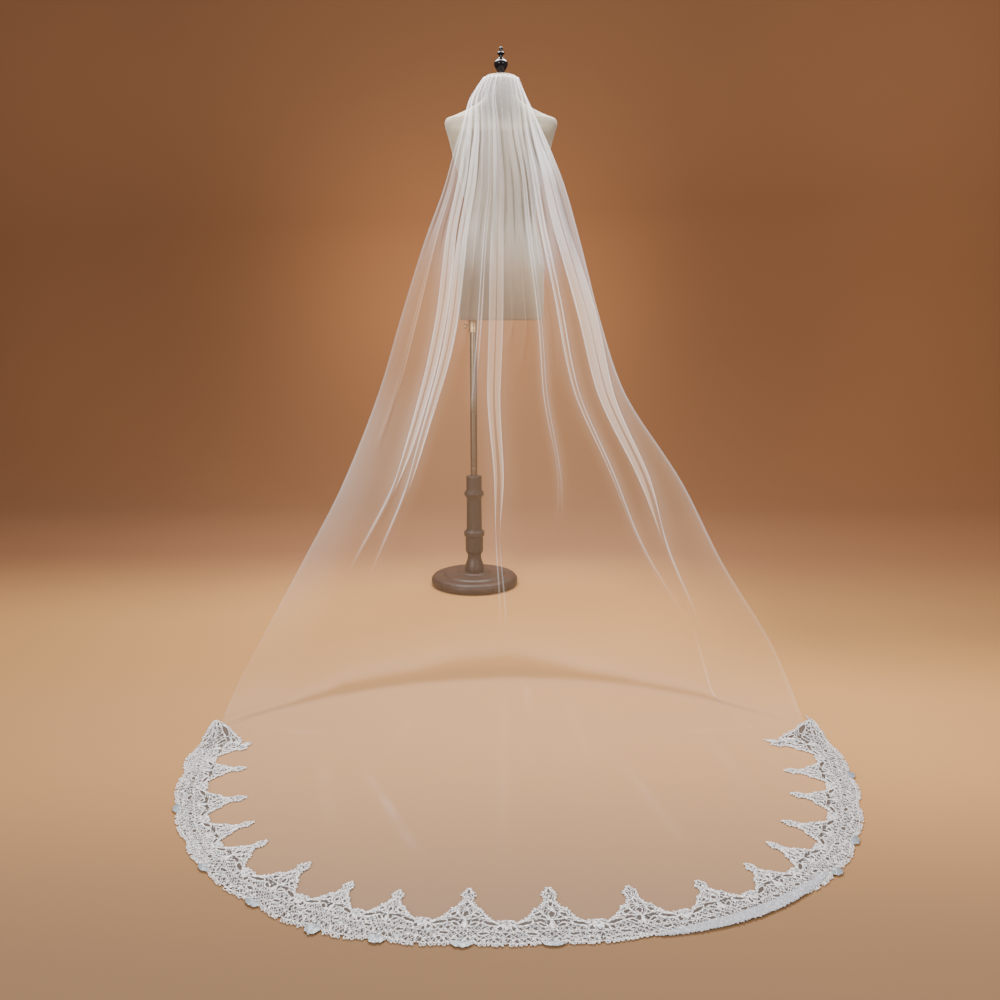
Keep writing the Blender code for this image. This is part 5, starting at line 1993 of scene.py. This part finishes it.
@dataclass
class TurnedStand:
    """The wooden base and column, the steel pole, its clamp and the finial on the neck."""

    axis_x: float = 0.096
    pole_radius: float = 0.012
    column_top: float = 0.4
    form_bottom: float = 0.944
    gap: float = 0.0003
    clamp_radius: float = 0.0165
    clamp_height: float = 0.04
    knob_reach: float = 0.032
    flutes: int = 9
    flute_depth: float = 0.09
    base: tuple[Pair, ...] = (
        (0.0, 0.05), (0.05, 0.05), (0.054, 0.0495), (0.06, 0.046), (0.066, 0.0452), (0.104, 0.042),
        (0.108, 0.04), (0.112, 0.037), (0.138, 0.036), (0.149, 0.032), (0.156, 0.023),
        (0.157, 0.014), (0.155, 0.005), (0.15, 0.0), (0.0, 0.0))
    column: tuple[Pair, ...] = (
        (0.0, 0.4), (0.026, 0.4), (0.0276, 0.397), (0.0276, 0.35), (0.03, 0.346),
        (0.0353, 0.338), (0.0353, 0.332), (0.03, 0.324), (0.0263, 0.317), (0.027, 0.262),
        (0.0278, 0.205), (0.03, 0.201), (0.0368, 0.196), (0.0368, 0.182), (0.032, 0.178),
        (0.0316, 0.124), (0.0288, 0.119), (0.0248, 0.111), (0.0242, 0.107), (0.0246, 0.1),
        (0.0255, 0.094), (0.0274, 0.087), (0.03, 0.08), (0.033, 0.07), (0.0345, 0.06),
        (0.0345, 0.0503), (0.0, 0.0503))
    finial: tuple[Pair, ...] = (
        (0.0, 1.82), (0.003, 1.8197), (0.0048, 1.8185), (0.0064, 1.814), (0.006, 1.8095),
        (0.0058, 1.805), (0.0122, 1.802), (0.0124, 1.7985), (0.0062, 1.794), (0.006, 1.7875),
        (0.009, 1.7835), (0.016, 1.779), (0.0205, 1.7752), (0.0222, 1.7725), (0.023, 1.7675),
        (0.0212, 1.76), (0.0176, 1.7538), (0.014, 1.748), (0.0106, 1.743), (0.0108, 1.737),
        (0.014, 1.7345), (0.014, 1.7283), (0.0, 1.7283))

    def turned(self, name: str, profile: Sequence[Pair], sides: int, finish: Material,
               node: str, axis_x: float = 0.0, round_by: float = 0.0012) -> None:
        """Make one turned piece of a profile of (radius, height), and place it on its axis."""
        points, faces = revolve(profile, sides, round_by)
        make_piece(name, make_mesh(name, points + (axis_x, 0, 0), faces), finish, [node])

    def clamp(self, finish: Material) -> None:
        """Make the collar under the form, with its fluted hand screw.

        Args:
            finish: its finish.
        """
        top = self.form_bottom - self.gap
        bottom = top - self.clamp_height
        bore, outer, reach = self.pole_radius + 0.0004, self.clamp_radius, self.knob_reach
        profile = ((bore, top), (outer, top), (outer, top - 0.006), (outer - 0.0012, top - 0.0075),
                   (outer - 0.0012, bottom + 0.0075), (outer, bottom + 0.006), (outer, bottom),
                   (bore, bottom), (bore, top))
        shank = ((0.0, reach), (0.0062, reach), (0.0085, reach - 0.0022), (0.0085, reach - 0.0085),
                 (0.007, reach - 0.01), (0.0035, reach - 0.0104), (0.0035, outer - 0.0005),
                 (0.0062, outer - 0.0008), (0.0062, outer - 0.0035), (0.0, outer - 0.0035))
        shell = Shell()
        shell.add(*revolve(profile, 72, 0.0008))
        points, faces = revolve(shank, 72, 0.0007)
        x, y, z = points.T
        fluted = 0.5 + 0.5 * np.cos(self.flutes * np.arctan2(y, x))
        flute = 1 - self.flute_depth * (np.hypot(x, y) > 0.0068) * fluted
        shell.add(np.stack([-z, y * flute, x * flute + (top + bottom) / 2], 1), faces)
        mesh = make_mesh("clamp_collar", shell.vertices(), shell.faces)
        make_piece("clamp_collar", mesh, finish, ["pole_clamp"])

    def build(self) -> None:
        """Make every piece of the stand."""
        disc = WoodFinish("Stained beech, cross grain", (3.0, 26.0, 26.0)).build()
        post = WoodFinish("Stained beech, long grain", (26.0, 26.0, 3.0), (0.022, 0.0056, 0.004),
                          (0.008, 0.0025, 0.0018)).build()
        steel = MetalFinish("Drawn steel", (0.21, 0.155, 0.11), (0.13, 0.098, 0.068), (0.26, 0.42))
        brass = MetalFinish("Dull brass", (0.52, 0.36, 0.19), (0.34, 0.22, 0.12), (0.36, 0.55))
        self.turned("base_disc", self.base, 132, disc, "stand_base",
                    round_by=0.0022)
        self.turned("column_post", self.column, 96, post, "stand_column")
        low, high = self.column_top + self.gap, self.form_bottom - self.gap
        radius = self.pole_radius
        pole = ((0.0, high), (radius, high), (radius, low + 0.03), (radius - 0.0004, low + 0.0292),
                (radius - 0.0004, low + 0.0276), (radius, low + 0.0268), (radius, low), (0.0, low))
        self.turned("pole_tube", pole, 72, steel.build(), "stand_pole", round_by=0.0003)
        self.clamp(brass.build())
        self.turned("neck_knob", self.finial, 72, GlossFinish().build(), "neck_finial",
                    self.axis_x, 0.0016)


# ------------------------------------------------------------------ the studio
@dataclass(frozen=True)
class Studio:
    """The camera, a pale floor that sweeps up into a backdrop painted with pools of light and shade,
    and soft light.
    """

    eye: tuple[float, float, float] = (0.093, -3.153, 0.94)
    pitch: float = 11.28
    lens: float = 32.2
    floor_tone: Colour = (0.3, 0.142, 0.039)
    wall_low: Colour = (0.165, 0.064, 0.02)
    wall_high: Colour = (0.252, 0.111, 0.044)
    # a painted pool of light on the wall behind the form: its middle across and up, its reach, and how
    # much brighter it makes the wall
    halo_place: Pair = (-0.16, 1.25)
    halo_reach: Pair = (0.7, 0.6)
    halo: float = 1.06
    # painted light and shade on the wall across: from and to which place, and from and to what
    wall_sides: Table = ((-1.6, 1.2, 0.82, 0.9), (1.1, 3.1, 1.0, 1.42), (-3.2, -1.6, 1.22, 1.0))
    # painted light across the floor and its front: darker to the left, brighter to the right
    side_tones: Pair = (0.91, 1.2)
    # a painted pool of light on the floor: how much brighter at its middle, where its middle is, and
    # its reach
    floor_glow: float = 1.32
    glow_place: Pair = (0.18, -0.3)
    glow_reach: float = 0.85
    # the colour of the painted shade over the front of the floor
    front_shade: Colour = (0.148, 0.078, 0.033)
    half_width: float = 9.0
    front: float = -7.0
    turn_y: float = 1.3
    turn_radius: float = 1.3
    height: float = 6.0
    # the corner where the wall starts to turn up, and how far it reaches in depth
    wall_reach: Pair = (-0.42, 0.64)
    # where the painted shade over the front of the floor is full, and where it ends
    front_shade_reach: Pair = (-2.06, -1.28)
    # across which the painted light runs from darker to brighter
    shade_reach: Pair = (-1.6, 1.6)

    def camera(self) -> None:
        """Place the camera."""
        data = bpy.data.cameras.new("view")
        data.lens, data.sensor_width = self.lens, 36.0
        view = link(bpy.data.objects.new("view", data))
        view.location = self.eye
        view.rotation_euler = (math.radians(90 - self.pitch), 0, 0)
        bpy.context.scene.camera = view

    def backdrop(self) -> None:
        """The floor and the wall, as one plain curved sheet."""
        angle = np.linspace(0, math.pi / 2, 24)
        bend = np.stack([self.turn_y + self.turn_radius * np.sin(angle),
                         self.turn_radius * (1 - np.cos(angle))], 1)
        line = np.concatenate([[(self.front, 0)], bend, [(bend[-1, 0], self.height)]])
        points = np.concatenate([np.column_stack([np.full(len(line), x), line])
                                 for x in (-self.half_width, self.half_width)])
        mesh = make_mesh("backdrop", points, [grid_quads(2, len(line))])
        mesh.materials.append(self.paper())
        link(bpy.data.objects.new("backdrop", mesh))

    def paper(self) -> Material:
        """Make the backdrop's finish.

        Returns:
            Paper painted with light and shade: a painted pool of light about the form, painted shade at
                the sides and in front.
        """
        graph = Graph("Plain paper")
        place, (across, deep, up) = graph.place(), graph.axes()
        graph.bump(graph.noise(place, 240.0), 0.04, 0.0004)
        # painted light across: darker to the left, brighter to the right
        light = graph.ranged(across, *self.shade_reach, *self.side_tones)
        # a painted pool of light on the floor about the form
        glow = graph.node("VectorMath", {0: place, 1: (*self.glow_place, 0.0)}, operation="DISTANCE")
        floor = graph.between(graph.ranged(glow.outputs[1], 0.0, 2 * self.glow_reach, 1.0, 0.0),
                              self.floor_tone, [c * self.floor_glow for c in self.floor_tone])
        # a painted patch of light at the front right, with painted shade behind it
        beside = graph.math("MULTIPLY", graph.ranged(across, 0.5, 1.1),
                            graph.ranged(deep, -1.12, -0.42, 0.16, -0.36))
        floor = graph.scaled(graph.scaled(floor, light), graph.math("ADD", 1.0, beside))
        aside = graph.math("ABSOLUTE", graph.math("SUBTRACT", across, 0.1))
        cooler = graph.math("MULTIPLY", graph.ranged(deep, -1.15, -0.75, 1.0, 0.0),
                            graph.ranged(aside, 0.35, 0.8))
        cooled = graph.node("VectorMath", {0: floor, 1: (1.0, 1.03, 1.2)}, operation="MULTIPLY")
        floor = graph.between(cooler, floor, cooled.outputs[0])
        turn = graph.math("ADD", deep, graph.ranged(across, 0.25, 1.3, 0.0, 0.16))
        turn = graph.math("ADD", turn, graph.ranged(across, -1.2, -0.4, 0.12, 0.0))
        mottle = graph.ranged(graph.noise(place, 1.2, 3.0), 0.3, 0.7, -0.03, 0.03)
        share = graph.math("ADD", graph.ranged(turn, *self.wall_reach), mottle, clamp=True)
        wall = graph.between(graph.ranged(up, -0.2, 2.6), self.wall_low, self.wall_high)
        # the wall, with its painted halo of light and paler far sides
        tone = graph.between(share, floor, graph.scaled(wall, self.wall_light(graph, place, across)))
        # painted shade over the front of the floor
        tone = graph.between(graph.ranged(deep, *self.front_shade_reach, 1.0, 0.0), tone,
                             graph.scaled(self.front_shade, light))
        return graph.wear(Base_Color=tone, Roughness=0.9)

    def wall_light(self, graph: Graph, place: object, across: object) -> Socket:
        """How brightly the wall is painted: a soft halo behind the form, and paler far sides.

        Args:
            graph: the material's nodes.
            place: the place on the backdrop.
            across: how far across it lies.

        Returns:
            A factor.
        """
        (x, z), (wide, high) = self.halo_place, self.halo_reach
        away = graph.node("Mapping", {"Vector": place, "Location": (-x / wide, 0, -z / high),
                                      "Scale": (1 / wide, 0, 1 / high)}).outputs[0]
        square = graph.node("VectorMath", {0: away, 1: away}, operation="DOT_PRODUCT").outputs[1]
        halo = graph.math("EXPONENT", graph.math("MULTIPLY", square, -0.5))
        light = graph.math("MULTIPLY_ADD", halo, self.halo, 1.0)
        for low, high, at_low, at_high in self.wall_sides:
            light = graph.math("MULTIPLY", light, graph.ranged(across, low, high, at_low, at_high))
        return light

    def light(self, name: str, place: tuple, aim: tuple, size: Pair, power: float,
              spread: float, colour: Colour) -> None:
        """Add one soft box.

        Args:
            name: its name.
            place: where it stands.
            aim: the point that it looks at.
            size: its width and height.
            power: how strong it is, in watts.
            spread: the angle that its light keeps to, in degrees.
            colour: its light's colour.
        """
        data = bpy.data.lights.new(name, "AREA")
        data.shape, data.size, data.size_y = "RECTANGLE", *size
        data.energy, data.color, data.spread = power, colour, math.radians(spread)
        lamp = link(bpy.data.objects.new(name, data))
        lamp.location, lamp.visible_camera = place, False
        way = [a - b for a, b in zip(aim, place)]
        lamp.rotation_euler = (math.atan2(math.hypot(way[0], way[1]), -way[2]), 0,
                               math.atan2(way[1], way[0]) - math.pi / 2)

    def build(self) -> None:
        """Set up the whole studio."""
        self.camera()
        self.backdrop()
        self.light("back_key", (0.0, 0.35, 2.65), (0.1, -0.9, 0.0), (1.8, 0.8), 200, 180,
                   (1.0, 0.98, 0.95))
        self.light("front_left", (-2.2, -3.8, 2.0), (0.1, -0.2, 1.2), (1.6, 1.8), 108, 125,
                   (1.0, 0.97, 0.94))
        self.light("front_right", (2.6, -3.6, 1.9), (0.1, -0.2, 1.1), (1.4, 1.8), 58, 125,
                   (1.0, 0.97, 0.94))
        self.light("top_fill", (0.1, -0.7, 4.4), (0.1, -0.7, 0.0), (3.0, 3.0), 60, 180,
                   (1.0, 0.98, 0.96))
        world = bpy.data.worlds.new("soft_room")
        world.use_nodes = True
        sky = world.node_tree.nodes["Background"]
        sky.inputs[0].default_value = (1.0, 0.94, 0.88, 1)
        sky.inputs[1].default_value = 0.36
        bpy.context.scene.world = world


def main() -> None:
    """Build every piece in order."""
    logging.basicConfig(level=logging.INFO, format="%(name)s: %(message)s")
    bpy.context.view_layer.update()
    Studio().build()
    TurnedStand().build()
    TorsoForm(CoverFinish()).build()
    border = Border()
    trim = LaceEdge(border, Motif()).build()
    veil = TulleVeil(border, TulleFinish()).build()


if __name__ == "__main__":
    main()
